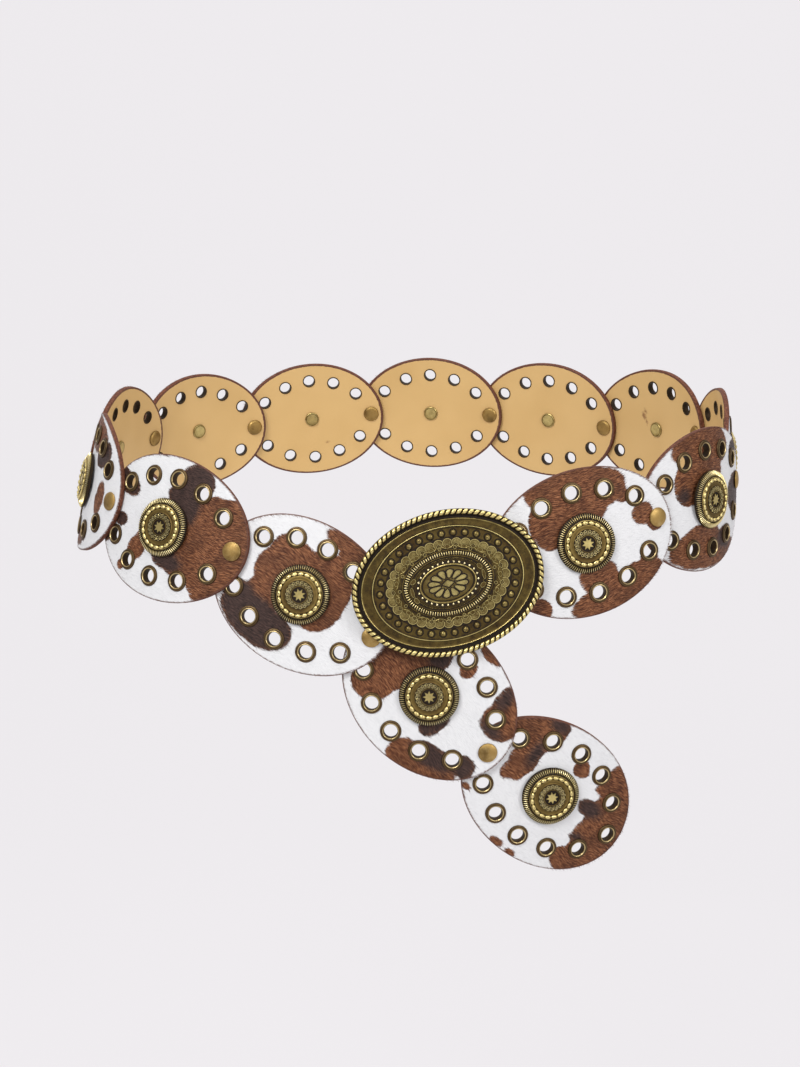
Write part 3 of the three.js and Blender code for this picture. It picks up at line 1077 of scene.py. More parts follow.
class WornForm:
    """The leaning oval that the belt lies on."""

    front_depth = 0.656
    back_depth = 0.81
    side_skew = 0.06
    front_squareness = 2.55
    back_squareness = 2.1
    turn = math.radians(-4)
    lean_front, lean_right, lean_back, lean_left, lean_skew = 10.5, 2.0, 7.0, 9.5, 1.7
    hip_bulge = 780.0

    def __init__(self, chain: Chain) -> None:
        """Sizes the waist so that the chain and the buckle close the loop.

        Args:
            chain: the sizes of the chain.
        """
        self.chain = chain
        self.shares = np.linspace(0, 1, 721)
        outline = self._plan(self.shares, 1.0)
        steps = np.linalg.norm(np.diff(outline, axis=0), axis=1)
        self.lengths = np.concatenate([[0], np.cumsum(steps)])
        along, across = chain.eyelets[2]
        hook = (along * chain.half_length, across * chain.half_height)
        around, height = chain.unrolled(chain.hooked + 1, *hook)
        tilt = math.asin((chain.first_height - height) / chain.hook_to_post)
        self.waist = around - chain.first_around + chain.hook_to_post * math.cos(tilt)
        self.half_width = self.waist / self.lengths[-1]
        self.hook = hook

    def _plan(self, share: np.ndarray, half_width: float) -> np.ndarray:
        """The waist seen from above.

        Args:
            share: the shares of a turn from the front.
            half_width: half the waist's width.

        Returns:
            One row of X and Y for each share.
        """
        angle = 2 * np.pi * share - np.pi / 2
        across, back = np.cos(angle), np.sin(angle)
        blend = (1 + back) / 2
        power = self.front_squareness + (self.back_squareness - self.front_squareness) * blend
        radius = half_width * (np.abs(across) ** power + np.abs(back) ** power) ** (-1 / power)
        depth = np.where(back < 0, self.front_depth, self.back_depth)
        x = radius * across * (1 + self.side_skew * across)
        y = radius * back * depth
        cos, sin = math.cos(self.turn), math.sin(self.turn)
        return np.stack([x * cos - y * sin, x * sin + y * cos], -1)

    def _lean(self, angle: np.ndarray) -> np.ndarray:
        """The body's lean.

        Args:
            angle: the angles round the waist, 0 at the wearer's left.

        Returns:
            The lean at each, in radians.
        """
        front, right, back, left = self.lean_front, self.lean_right, self.lean_back, self.lean_left
        degrees = (
            (front + right + back + left) / 4
            + (right - left) / 2 * np.cos(angle)
            + (back - front) / 2 * np.sin(angle)
            + (right + left - front - back) / 4 * np.cos(2 * angle)
            + self.lean_skew * np.sin(2 * angle)
        )
        return np.radians(degrees)

    def on_body(self, around: Any, height: Any, off: Any) -> np.ndarray:
        """Points on the worn belt.

        Args:
            around: the way round the waist from the front, in millimetres.
            height: the height up the body.
            off: the distance out from the body line.

        Returns:
            One row of X, Y and Z for each point, in millimetres.
        """
        around, height, off = np.broadcast_arrays(around, height, off)
        reach = np.mod(around / self.waist, 1) * self.lengths[-1]
        share = np.interp(reach, self.lengths, self.shares)
        place = self._plan(share, self.half_width)
        step = 1e-4
        ahead = self._plan(np.minimum(share + step, 1), self.half_width)
        behind = self._plan(np.maximum(share - step, 0), self.half_width)
        tangent = ahead - behind
        tangent /= np.linalg.norm(tangent, axis=-1, keepdims=True)
        outward = np.stack([tangent[..., 1], -tangent[..., 0]], -1)
        lean = self._lean(2 * np.pi * share - np.pi / 2)
        here = lean + height / self.hip_bulge
        out = self.hip_bulge * (np.cos(here) - np.cos(lean)) + off * np.cos(here)
        up = self.hip_bulge * (np.sin(here) - np.sin(lean)) + off * np.sin(here)
        return np.concatenate([place + outward * out[..., None], up[..., None]], -1)

    def on_disc(self, number: int, along: Any, across: Any, off: Any) -> np.ndarray:
        """Points of a worn disc, whose tail laps over the next disc's head."""
        around, height = self.chain.unrolled(number, along, across)
        return self.on_body(around, height, off + self.chain.lift * along / self.chain.reach)

    @staticmethod
    def _stand(surface: Callable[[float, float], np.ndarray], along: float, across: float) -> Matrix:
        """Stands a hard piece square on a surface.

        Args:
            surface: gives the place of a point along and across it, in millimetres.
            along: the point's place along it.
            across: the point's place across it.

        Returns:
            The piece's place and turn, in metres.
        """
        origin = Vector(surface(along, across))
        ahead = Vector(surface(along + 1, across) - surface(along - 1, across))
        above = Vector(surface(along, across + 1) - surface(along, across - 1))
        outward = ahead.cross(above).normalized()
        ahead.normalize()
        above = outward.cross(ahead)
        matrix = Matrix((ahead, above, outward)).transposed().to_4x4()
        matrix.translation = origin * MM
        return matrix

    def on_leather(self, number: int, along: float, across: float) -> Matrix:
        """The stand of a piece on the middle of a disc's leather."""
        return self._stand(lambda a, b: self.on_disc(number, a, b, 0.0), along, across)

    def at_joint(self, number: int) -> Matrix:
        """The stand of the rivet at a disc's tail, between the two discs.

        Args:
            number: the disc's number.

        Returns:
            The place and the turn, as a matrix.
        """
        unrolled = self.chain.unrolled
        return self._stand(
            lambda a, b: self.on_body(*unrolled(number, a, b), 0.0), self.chain.reach, 0.0
        )

    def buckle_stand(self) -> tuple[Matrix, Matrix, Matrix]:
        """The buckle's own stand, and those of its hook and its post in the buckle's frame.

        Returns:
            The buckle's stand, and those of the hook and the post in its frame.
        """
        hook_frame = self.on_leather(self.chain.hooked + 1, *self.hook)
        post_frame = self.on_leather(1, -self.chain.reach, 0.0)
        hook, post = hook_frame.translation, post_frame.translation
        along = (post - hook).normalized()
        facing = hook_frame.col[2].to_3d() + post_frame.col[2].to_3d()
        facing = (facing - facing.dot(along) * along).normalized()
        across = facing.cross(along)
        middle = self.chain.buckle_length / 2 - self.chain.hook_inset
        origin = hook + along * middle * MM + facing * self.chain.buckle_back * MM
        stand = Matrix((along, across, facing)).transposed().to_4x4()
        stand.translation = origin
        return stand, stand.inverted() @ hook_frame, stand.inverted() @ post_frame


# Pieces


@dataclass
class LeatherDiscs:
    """The discs of the chain, cut flat once and bent one by one."""

    chain: Chain
    form: WornForm
    outline_points: int = 144
    hole_points: int = 24
    grid: float = 2.6
    rule_shift: float = 0.13
    shank_hole: float = 3.8
    punch_length: float = 6.0
    round_edge: float = 0.45
    hair_count: int = 3800
    fringe_count: int = 500
    hair_length: tuple[float, float] = (1.3, 2.5)
    hair_half_width: tuple[float, float] = (0.045, 0.095)
    hair_rise: tuple[float, float] = (0.06, 0.24)
    hair_stray: float = 9.0
    hair_reach: float = 0.985
    fringe_reach: tuple[float, float] = (0.972, 0.99)
    fringe_shorter: float = 0.75
    tip_reach: float = 1.03
    bare_round_concho: float = 13.8
    bare_round_eyelet: float = 5.1
    marks: dict[int, Sequence[Patch]] = field(
        default_factory=lambda: {
            4: (
                Patch(7.3, 9.8, 1.3, 0.7, 60),
                Patch(8.6, 7.2, 2.0, 1.2, 70),
                Patch(7, 4, 1.4, 0.5, 80),
            ),
            7: (Patch(-8, -14.5, 0.7, 0.45), Patch(-12, -18, 0.35, 0.35)),
        }
    )

    def cut_blank(self, number: int) -> bpy.types.Object:
        """Cuts one flat disc with its holes.

        Args:
            number: the disc whose holes it has.

        Returns:
            The flat disc, with a fine enough grid to bend.
        """
        chain = self.chain
        Bench.clear()
        bpy.ops.mesh.primitive_circle_add(
            vertices=self.outline_points, radius=1.0, fill_type="NGON"
        )
        blank = bpy.context.object
        Bench.edit(blank)
        bpy.ops.transform.resize(value=(chain.half_length * MM, chain.half_height * MM, 1.0))
        bpy.ops.transform.translate(value=(0, 0, -chain.leather / 2 * MM))
        thickness = {"value": (0, 0, chain.leather * MM)}
        bpy.ops.mesh.extrude_region_move(TRANSFORM_OT_translate=thickness)
        bpy.ops.mesh.select_all(action="SELECT")
        bpy.ops.mesh.normals_make_consistent(inside=False)
        for side in (1, -1):
            Bench.choose(lambda co: co.z * side > chain.leather * 0.49 * MM)
            bpy.ops.mesh.bevel(offset=self.round_edge * MM, segments=3, affect="EDGES")
        Bench.close()
        self._punch(blank, number)
        self._rule(blank)
        self._flat_map(blank)
        return blank

    def _punch(self, blank: bpy.types.Object, number: int) -> None:
        """Punches the eyelet and shank holes with a set of round punches.

        Args:
            blank: the flat disc.
            number: the disc whose holes it has.
        """
        chain = self.chain
        last = number == chain.count
        shanks = [(-chain.reach, 0.0), (0.0, 0.0)] + ([] if last else [(chain.reach, 0.0)])
        holes = [(x, y, chain.eyelet_hole) for x, y in chain.eyelet_spots(number)]
        holes += [(x, y, self.shank_hole) for x, y in shanks]
        punches = []
        for x, y, width in holes:
            Bench.clear()
            bpy.ops.mesh.primitive_cylinder_add(
                vertices=self.hole_points,
                radius=width / 2 * MM,
                depth=self.punch_length * MM,
                location=(x * MM, y * MM, 0),
            )
            punches.append(bpy.context.object)
        punch = Bench.join("punch", punches)
        Bench.apply(blank, "BOOLEAN", operation="DIFFERENCE", solver="EXACT", object=punch)
        bpy.data.objects.remove(punch)

    def _rule(self, blank: bpy.types.Object) -> None:
        """Cuts the faces along ruled lines, so that the leather can bend.

        Args:
            blank: the flat disc.
        """
        Bench.edit(blank)
        for size, axis in ((self.chain.half_length, 0), (self.chain.half_height, 1)):
            lines = int(size / self.grid)
            for line in range(-lines, lines + 1):
                spot = [0.0, 0.0, 0.0]
                spot[axis] = (line * self.grid + self.rule_shift) * MM
                normal = [0.0, 0.0, 0.0]
                normal[axis] = 1.0
                bpy.ops.mesh.select_all(action="SELECT")
                bpy.ops.mesh.bisect(plane_co=spot, plane_no=normal)
        bpy.ops.mesh.select_all(action="SELECT")
        bpy.ops.mesh.remove_doubles(threshold=0.004 * MM)
        bpy.ops.mesh.quads_convert_to_tris(quad_method="BEAUTY", ngon_method="BEAUTY")
        Bench.close()

    def _flat_map(self, blank: bpy.types.Object) -> None:
        """Writes the flat disc's place into its UV map, and its layer on each face.

        Args:
            blank: the flat disc.
        """
        data = blank.data
        for old in list(data.uv_layers):
            data.uv_layers.remove(old)
        layer = data.uv_layers.new(name="flat")
        corner = np.empty(len(data.loops), np.int32)
        data.loops.foreach_get("vertex_index", corner)
        places = np.empty(len(data.vertices) * 3, np.float32)
        data.vertices.foreach_get("co", places)
        places = places.reshape(-1, 3)[corner][:, :2] / MM / MAP_SPAN + 0.5
        layer.data.foreach_set("uv", places.astype(np.float32).ravel())
        level = 0.95
        for face in data.polygons:
            if face.normal.z > level:
                face.material_index = Layer.HAIR.value
            elif face.normal.z < -level:
                face.material_index = Layer.BACKING.value
            else:
                face.material_index = Layer.EDGE.value

    def _covered(self, number: int, x: np.ndarray, y: np.ndarray) -> np.ndarray:
        """Which points of a disc lie under the disc before it, or on bare metal.

        Args:
            number: the disc.
            x: the points' places along it, in millimetres.
            y: their places across it.

        Returns:
            A truth value for each point.
        """
        chain = self.chain
        hidden = np.hypot(x, y) < self.bare_round_concho
        spots = chain.eyelet_spots(number) + [(chain.reach, 0.0), (-chain.reach, 0.0)]
        for spot_x, spot_y in spots:
            hidden |= np.hypot(x - spot_x, y - spot_y) < self.bare_round_eyelet
        if number > 1:
            turn, around, height = chain.middle(number - 1)
            here_around, here_height = chain.unrolled(number, x, y)
            ahead, above = here_around - around, here_height - height
            along = ahead * math.cos(turn) + above * math.sin(turn)
            across = above * math.cos(turn) - ahead * math.sin(turn)
            reach = np.hypot(along / (chain.half_length + 1), across / (chain.half_height + 1))
            hidden |= reach < 1
        return hidden

    def _hair(self, number: int, lie: float) -> bpy.types.Object:
        """Lays short flat hairs over a disc's front, a few of them past its edge.

        Args:
            number: the disc.
            lie: the hairs' direction on it, in degrees.

        Returns:
            The hairs as one mesh, each coloured by the patch under its root.
        """
        chain, rng = self.chain, np.random.default_rng(number)
        angle = rng.uniform(0, 2 * np.pi, self.hair_count + self.fringe_count)
        reach = np.sqrt(rng.uniform(0, 1, angle.size)) * self.hair_reach
        reach[self.hair_count :] = rng.uniform(*self.fringe_reach, self.fringe_count)
        root_x = reach * chain.half_length * np.cos(angle)
        root_y = reach * chain.half_height * np.sin(angle)
        sway = 14 * np.sin(root_x / 13 + number) + 12 * np.cos(root_y / 11 - number)
        turn = np.radians(lie + sway + rng.normal(0, self.hair_stray, angle.size))
        length = rng.uniform(*self.hair_length, angle.size)
        length[self.hair_count :] *= self.fringe_shorter
        tip_x = root_x + length * np.cos(turn)
        tip_y = root_y + length * np.sin(turn)
        tip_reach = np.hypot(tip_x / chain.half_length, tip_y / chain.half_height)
        bare = self._covered(number, root_x, root_y) | self._covered(number, tip_x, tip_y)
        keep = ~bare & (tip_reach < self.tip_reach)
        root_x, root_y, tip_x, tip_y, turn = (
            values[keep] for values in (root_x, root_y, tip_x, tip_y, turn)
        )
        half = rng.uniform(*self.hair_half_width, root_x.size)
        side_x, side_y = -np.sin(turn) * half, np.cos(turn) * half
        along = np.stack([root_x + side_x, root_x - side_x, tip_x], -1).ravel()
        across = np.stack([root_y + side_y, root_y - side_y, tip_y], -1).ravel()
        foot = np.full(half.size, chain.leather / 2)
        tip = foot + rng.uniform(*self.hair_rise, half.size)
        off = np.stack([foot, foot, tip], -1).ravel()
        worn = self.form.on_disc(number, along, across, off) * MM
        data = bpy.data.meshes.new("hair")
        faces = np.arange(worn.shape[0]).reshape(-1, 3)
        data.from_pydata(worn.tolist(), [], faces.tolist())
        layer = data.uv_layers.new(name="flat")
        roots = np.repeat(np.stack([root_x, root_y], -1) / MAP_SPAN + 0.5, 3, axis=0)
        layer.data.foreach_set("uv", roots.astype(np.float32).ravel())
        hair = bpy.data.objects.new("hair", data)
        bpy.context.scene.collection.objects.link(hair)
        return hair

    def bend(self, blank: bpy.types.Object, number: int) -> bpy.types.Object:
        """Bends a copy of a flat disc to the body.

        Args:
            blank: the flat disc.
            number: the disc that it becomes.

        Returns:
            The worn disc.
        """
        disc = Bench.copy(blank, f"leather_{number:02d}")
        places = np.empty(len(disc.data.vertices) * 3, np.float32)
        disc.data.vertices.foreach_get("co", places)
        flat = places.reshape(-1, 3).astype(float) / MM
        worn = self.form.on_disc(number, flat[:, 0], flat[:, 1], flat[:, 2]) * MM
        disc.data.vertices.foreach_set("co", worn.astype(np.float32).ravel())
        disc.data.update()
        return disc

    def build(self) -> None:
        """Builds and dresses every disc."""
        count = self.chain.count
        blanks = {number: self.cut_blank(number) for number in (1, count)}
        edge, plain = EdgePaint().make(), TanBacking().make()
        for number in range(1, count + 1):
            hide = HIDES[number - 1]
            disc = self.bend(blanks.get(number, blanks[1]), number)
            hair = self._hair(number, hide.lie)
            spots = self.marks.get(number)
            backing = TanBacking(f"tan_backing_{number:02d}", spots).make() if spots else plain
            for finish in (hide.make(), backing, edge):
                disc.data.materials.append(finish)
            hair.data.materials.append(disc.data.materials[Layer.HAIR.value])
            disc = Bench.join(disc.name, [disc, hair])
            Bench.hand_over(disc, Slot.LEATHER, f"disc_{number:02d}")
        for blank in blanks.values():
            bpy.data.objects.remove(blank)


@dataclass
class Eyelets:
    """The metal rings set in the discs' holes."""

    chain: Chain
    form: WornForm
    metal: AntiqueMetal = ANTIQUE_BRONZE
    sides: int = 28
    # The roll's crest is painted brightest and its outer edge dark: a painted highlight and painted
    # shade as well as wear.
    rows: Sequence[RoundRow] = (
        (3.02, -1.50, 0.15), (3.00, 1.20, 0.15), (3.04, 1.66, 0.25), (3.20, 1.98, 0.85),
        (3.42, 2.12, 1.0), (3.66, 2.08, 0.5), (3.86, 1.92, 0.18), (4.24, 1.92, 0.46),
        (4.54, 1.78, 0.44), (4.70, 1.50, 0.2), (4.74, 1.30, 0.0), (4.68, 1.22, 0.0),
        (3.40, 1.20, 0.0), (3.36, -1.20, 0.0), (3.58, -1.26, 0.1), (3.54, -1.50, 0.22),
        (3.30, -1.60, 0.2),
    )

    def model(self) -> bpy.types.Object:
        """Models one eyelet, open through its bore.

        Returns:
            The model, in its own frame.
        """
        obj = Bench.lathe("eyelet", (*self.rows, self.rows[0]), self.sides)
        Bench.edit(obj)
        mesh = bmesh.from_edit_mesh(obj.data)
        caps = [face for face in mesh.faces if len(face.verts) > 4]
        bmesh.ops.delete(mesh, geom=caps, context="FACES_ONLY")
        bmesh.update_edit_mesh(obj.data)
        Bench.close()
        return Bench.tidy(obj)

    def build(self) -> None:
        """Sets the eyelets into each disc, as one piece for each."""
        model = self.model()
        finish = self.metal.make()
        for number in range(1, self.chain.count + 1):
            rings = []
            for x, y in self.chain.eyelet_spots(number):
                twin = Bench.copy(model)
                rings.append(Bench.place(twin, self.form.on_leather(number, x, y)))
            whole = Bench.join(f"eyelets_{number:02d}", rings)
            whole.data.materials.append(finish)
            Bench.hand_over(whole, Slot.EYELET, angle=50)
        bpy.data.objects.remove(model)


@dataclass
class Conchos:
    """The domed ornaments: a milled bevel, a ring of links, a scroll ring and a star."""

    chain: Chain
    form: WornForm
    ribs: int = 80
    links: int = 20
    scrolls: int = 18
    star_points: int = 8
    metal: AntiqueMetal = ANTIQUE_BRASS
    core_sides: int = 72
    cap_sides: int = 32
    bevel_radius: float = 11.95
    bevel_height: float = 3.35
    bevel_slope: float = -28.0
    link_radius: float = 9.1
    scroll_radius: float = 5.0
    scroll_height: float = 4.5
    star_radius: float = 3.0
    star_foot: float = 4.3
    star_rise: float = 0.55
    # Rows below 0 are dark; under the milled ribs the dark is painted shade between the bars.
    core_rows: Sequence[RoundRow] = (
        (1.5, -2.1, 0.2), (1.5, 1.4, 0.2), (12.8, 1.5, 0.0), (13.1, 1.7, 0.1),
        (13.2, 2.1, 0.1), (13.15, 2.5, 0.0), (12.9, 2.75, -0.1), (10.4, 3.95, -0.1),
        (10.3, 4.25, 0.5), (10.1, 4.45, 0.75), (9.9, 4.45, 0.4), (9.8, 4.1, -0.1),
        (8.4, 4.1, -0.1), (8.25, 4.4, 0.4), (8.0, 4.5, 0.55), (7.3, 4.35, 0.3),
        (6.8, 4.35, 0.28), (6.5, 4.5, 0.35), (6.35, 4.6, 0.2), (6.2, 4.55, 0.0),
        (3.9, 4.6, 0.0), (3.8, 4.8, 0.6), (3.55, 4.8, 0.4), (3.45, 4.3, -0.3),
        (0.9, 4.3, -0.3),
    )
    cap_rows: Sequence[RoundRow] = (
        (1.5, -1.3, 0.1), (3.7, -1.35, 0.1), (3.95, -1.5, 0.5), (3.9, -1.95, 0.7),
        (3.5, -2.25, 0.62), (3.2, -2.25, 0.5), (3.0, -2.2, 0.74), (1.6, -2.22, 0.78),
    )

    def _bevel(self) -> bpy.types.Object:
        """Models the milled bevel: one slanting bar, copied round.

        Returns:
            The ring of bars.
        """
        # Polish above 1 paints a highlight on each rib.
        bar = Bench.bead((0.21, 1.62, 0.46), 0.0, 6, 6, polish_and_light=1.38)
        Bench.place(bar, Matrix.Rotation(math.radians(self.bevel_slope), 4, "X"))
        Bench.place(bar, Matrix.Translation((0, 0, self.bevel_height * MM)))
        return Bench.ring("bevel", bar, self.ribs, (self.bevel_radius, self.bevel_radius))

    def _link_ring(self) -> bpy.types.Object:
        """Models the ring of oval links, each with a small dark pit in its middle.

        Returns:
            The ring of links.
        """
        # Polish above 1 paints a highlight on the links.
        link = Bench.bead((1.48, 0.82, 0.8), 4.3, 12, 8, polish_and_light=1.15)
        pit = Bench.bead((0.42, 0.14, 0.2), 4.98, 8, 4, polish_and_light=0.1)
        pair = Bench.join("link", [link, pit])
        return Bench.ring("links", pair, self.links, (self.link_radius, self.link_radius))

    def _scroll(self) -> bpy.types.Object:
        """Models one scroll of the inner ring: two curls, a stem and a dot.

        Returns:
            The scroll.
        """
        foot = self.scroll_height
        # Polish above 1 paints a highlight on the curls' rims and the dot.
        big = Bench.token(8, (0.62, 0.72), foot, 0.4, 0.2, 0.15, (-0.3, 1.2, -0.3))
        Bench.lay(big, 0.3, 0.5, 25)
        small = Bench.token(8, (0.42, 0.5), foot, 0.4, 0.16, 0.1, (-0.3, 1.2, -0.1))
        Bench.lay(small, -0.4, -0.45, 0)
        stem = Bench.bead((0.16, 0.6, 0.24), foot + 0.2, 6, 4, polish_and_light=1.0)
        Bench.lay(stem, -0.5, 0.45, 30)
        dot = Bench.bead((0.2, 0.2, 0.24), foot + 0.2, 6, 4, polish_and_light=1.1)
        Bench.lay(dot, 0.5, -0.65, 0)
        return Bench.join("scroll", [big, small, stem, dot])

    def _star(self) -> bpy.types.Object:
        """Models the star: a filled ring of corners with every other one drawn in.

        Returns:
            The star.
        """
        Bench.clear()
        bpy.ops.mesh.primitive_circle_add(
            vertices=self.star_points * 2, radius=self.star_radius * MM, fill_type="TRIFAN"
        )
        star = bpy.context.object
        Bench.edit(star)
        foot, top = self.star_foot * MM, (self.star_foot + self.star_rise) * MM
        bpy.ops.transform.translate(value=(0, 0, foot))
        step = math.pi / self.star_points
        Bench.choose(
            lambda co: co.xy.length > 1 * MM and round(math.atan2(co.y, co.x) / step) % 2 == 1
        )
        bpy.ops.transform.resize(value=(0.55, 0.55, 1), center_override=(0, 0, foot))
        bpy.ops.mesh.select_all(action="SELECT")
        bpy.ops.mesh.extrude_region_move(TRANSFORM_OT_translate={"value": (0, 0, top - foot)})
        bpy.ops.transform.resize(value=(0.9, 0.9, 1), center_override=(0, 0, top))
        Bench.close()
        # Painted shade at the star's foot and a lighter top, as well as wear.
        Bench.shade(star, 0.1, 0.8, self.star_foot + 0.1, self.star_foot + 0.5)
        return star

    def model(self) -> bpy.types.Object:
        """Models one concho, with its shank and its cap behind the leather.

        Returns:
            The model, in its own frame.
        """
        core = Bench.lathe("core", self.core_rows, self.core_sides)
        oval = (self.scroll_radius, self.scroll_radius)
        scrolls = Bench.ring("scrolls", self._scroll(), self.scrolls, oval)
        cap = Bench.lathe("cap", self.cap_rows, self.cap_sides)
        pieces = [core, self._bevel(), self._link_ring(), scrolls, self._star(), cap]
        return Bench.join("concho", pieces)

    def build(self) -> None:
        """Sets a concho on each disc."""
        model = self.model()
        finish = self.metal.make()
        for number in range(1, self.chain.count + 1):
            piece = Bench.copy(model, f"concho_front_{number:02d}")
            Bench.place(piece, self.form.on_leather(number, 0.0, 0.0))
            piece.data.materials.append(finish)
            Bench.hand_over(piece, Slot.CONCHO, f"concho_{number:02d}")
        bpy.data.objects.remove(model)


@dataclass
class Rivets:
    """The double-capped rivets that join the discs."""

    chain: Chain
    form: WornForm
    metal: AntiqueMetal = DULL_BRASS
    sides: int = 32
    rows: Sequence[RoundRow] = (
        (1.2, -4.15, 0.42), (3.3, -4.0, 0.36), (3.5, -3.92, 0.5), (3.9, -3.55, 0.6),
        (4.3, -3.05, 0.15), (4.25, -2.75, 0.0), (1.5, -2.7, 0.0), (1.5, 2.7, 0.0),
        (4.2, 2.72, 0.0), (4.32, 2.95, 0.35), (4.15, 3.4, 0.62), (3.4, 3.8, 0.58),
        (2.2, 4.05, 0.55), (0.9, 4.18, 0.55),
    )

    def build(self) -> None:
        """Sets a rivet at each joint."""
        model = Bench.lathe("rivet", self.rows, self.sides)
        finish = self.metal.make()
        for number in range(1, self.chain.count):
            piece = Bench.copy(model, f"joint_rivet_{number:02d}")
            Bench.place(piece, self.form.at_joint(number))
            piece.data.materials.append(finish)
            Bench.hand_over(piece, Slot.RIVET, f"rivet_{number:02d}", angle=50)
        bpy.data.objects.remove(model)


@dataclass
class Buckle:
    """The oval cast buckle: rope edge, stud ring, scalloped border, ribs, pearls and flower."""

    chain: Chain
    form: WornForm
    strands: int = 90
    rope_slant: float = 0.62
    studs: int = 32
    scallops: int = 34
    ribs: int = 96
    pearls: int = 30
    petals: int = 12
    sides: int = 160
    metal: AntiqueMetal = BUCKLE_BRASS
    rope_oval: Oval = (40.72, 30.12)
    rope_height: float = 2.1
    stud_oval: Oval = (29.75, 21.3)
    scallop_oval: Oval = (25.15, 16.95)
    diamond_oval: Oval = (24.0, 16.15)
    arch_oval: Oval = (22.9, 15.6)
    stem_oval: Oval = (22.3, 15.35)
    loop_oval: Oval = (21.15, 15.1)
    rib_oval: Oval = (18.45, 12.8)
    pearl_oval: Oval = (13.2, 9.05)
    flower_stretch: Oval = (1.40, 0.96)
    # Rows below 0 are dark: the seat inside the rope and the band round the scallops are painted
    # shadow; the crests near 1 are a painted highlight as well as wear.
    plate_rows: Sequence[Row] = (
        (39.8, 29.2, 0.0, 0.2), (41.3, 30.7, 0.3, 0.35), (41.9, 31.3, 0.9, 0.4),
        (42.0, 31.4, 1.4, 0.3), (41.9, 31.3, 1.7, 0.1), (41.6, 31.0, 1.8, 0.0),
        (41.4, 30.8, 1.7, -0.1), (39.4, 28.8, 1.7, -0.2), (38.9, 28.3, 1.2, -0.2),
        (38.15, 27.55, 1.2, -0.2), (38.0, 27.4, 1.95, 0.5), (37.75, 27.2, 2.1, 0.85),
        (37.45, 26.95, 2.0, 0.4), (37.1, 26.7, 1.9, 0.27), (36.0, 25.8, 1.9, 0.25),
        (33.6, 24.7, 2.05, 0.27), (33.35, 24.45, 2.05, 0.05), (33.15, 24.3, 2.5, 0.8),
        (32.8, 24.05, 2.55, 1.0), (32.6, 23.85, 2.2, 0.1), (32.2, 23.5, 2.1, 0.15),
        (31.4, 22.95, 2.1, 0.28), (28.2, 19.8, 2.2, 0.28), (27.4, 19.1, 2.2, -0.1),
        (24.1, 16.2, 2.35, -0.1), (23.9, 16.05, 2.68, 0.1), (23.6, 15.9, 2.72, 0.42),
        (22.0, 15.1, 2.75, 0.3), (20.7, 14.7, 2.8, 0.12), (20.3, 14.4, 2.85, 0.0),
        (20.0, 14.2, 3.1, 0.35),
        (19.75, 14.0, 3.15, 0.3), (19.5, 13.8, 3.0, -0.15), (17.4, 11.75, 3.15, -0.15),
        (17.3, 11.65, 3.45, 0.25), (17.0, 11.4, 3.5, 0.4), (16.8, 11.2, 3.35, 0.0),
        (15.7, 10.75, 3.35, 0.12), (15.5, 10.6, 3.52, 0.75), (15.3, 10.45, 3.35, 0.12),
        (14.0, 9.7, 3.35, 0.2), (13.8, 9.5, 3.35, -0.05),
        (12.65, 8.5, 3.4, -0.15), (12.45, 8.3, 3.7, 0.5), (12.2, 8.05, 3.85, 0.8),
        (11.9, 7.8, 3.85, 0.55), (11.7, 7.6, 3.75, 0.4), (11.55, 7.5, 3.45, -0.2),
        (11.15, 7.2, 3.45, -0.2), (10.95, 7.05, 3.65, 0.45), (9.2, 6.1, 3.7, 0.52),
        (2.0, 1.3, 3.7, 0.52),
    )

    def _rope(self) -> bpy.types.Object:
        """Models the twisted rope edge: one slanting length of a round bar, copied round.

        Returns:
            The rope.
        """
        # The strands' ends are painted dark and their crests bright: painted shade in the gaps
        # between strands and a painted highlight.
        rows = [
            (0.78, 0.78, -1.19, -0.2), (1.0, 1.0, -1.02, 0.2), (1.13, 1.13, -0.6, 0.95),
            (1.16, 1.16, 0.0, 1.2), (1.13, 1.13, 0.6, 0.95), (1.0, 1.0, 1.02, 0.2),
            (0.78, 0.78, 1.19, -0.2),
        ]
        strand = Bench.turned("strand", rows, 12)
        Bench.place(strand, Matrix.Rotation(math.radians(90), 4, "Y"))
        slant = Matrix.Identity(4)
        slant[0][1] = self.rope_slant
        Bench.place(strand, Matrix.Translation((0, 0, self.rope_height * MM)) @ slant)
        return Bench.ring("rope", strand, self.strands, self.rope_oval)

    def _stud_ring(self) -> bpy.types.Object:
        """Models the round studs, each on a dark disc of painted shadow.

        Returns:
            The ring of studs.
        """
        stud = Bench.bead((1.36, 1.36, 1.1), 2.2, 16, 10, polish_and_light=0.58)
        # The dark disc under each stud is painted shadow round it.
        pit = Bench.token(14, (1.85, 1.85), 2.08, 0.12, 0.06, 0.0, (-0.1, -0.1, -0.1))
        return Bench.ring("studs", Bench.join("stud", [stud, pit]), self.studs, self.stud_oval)

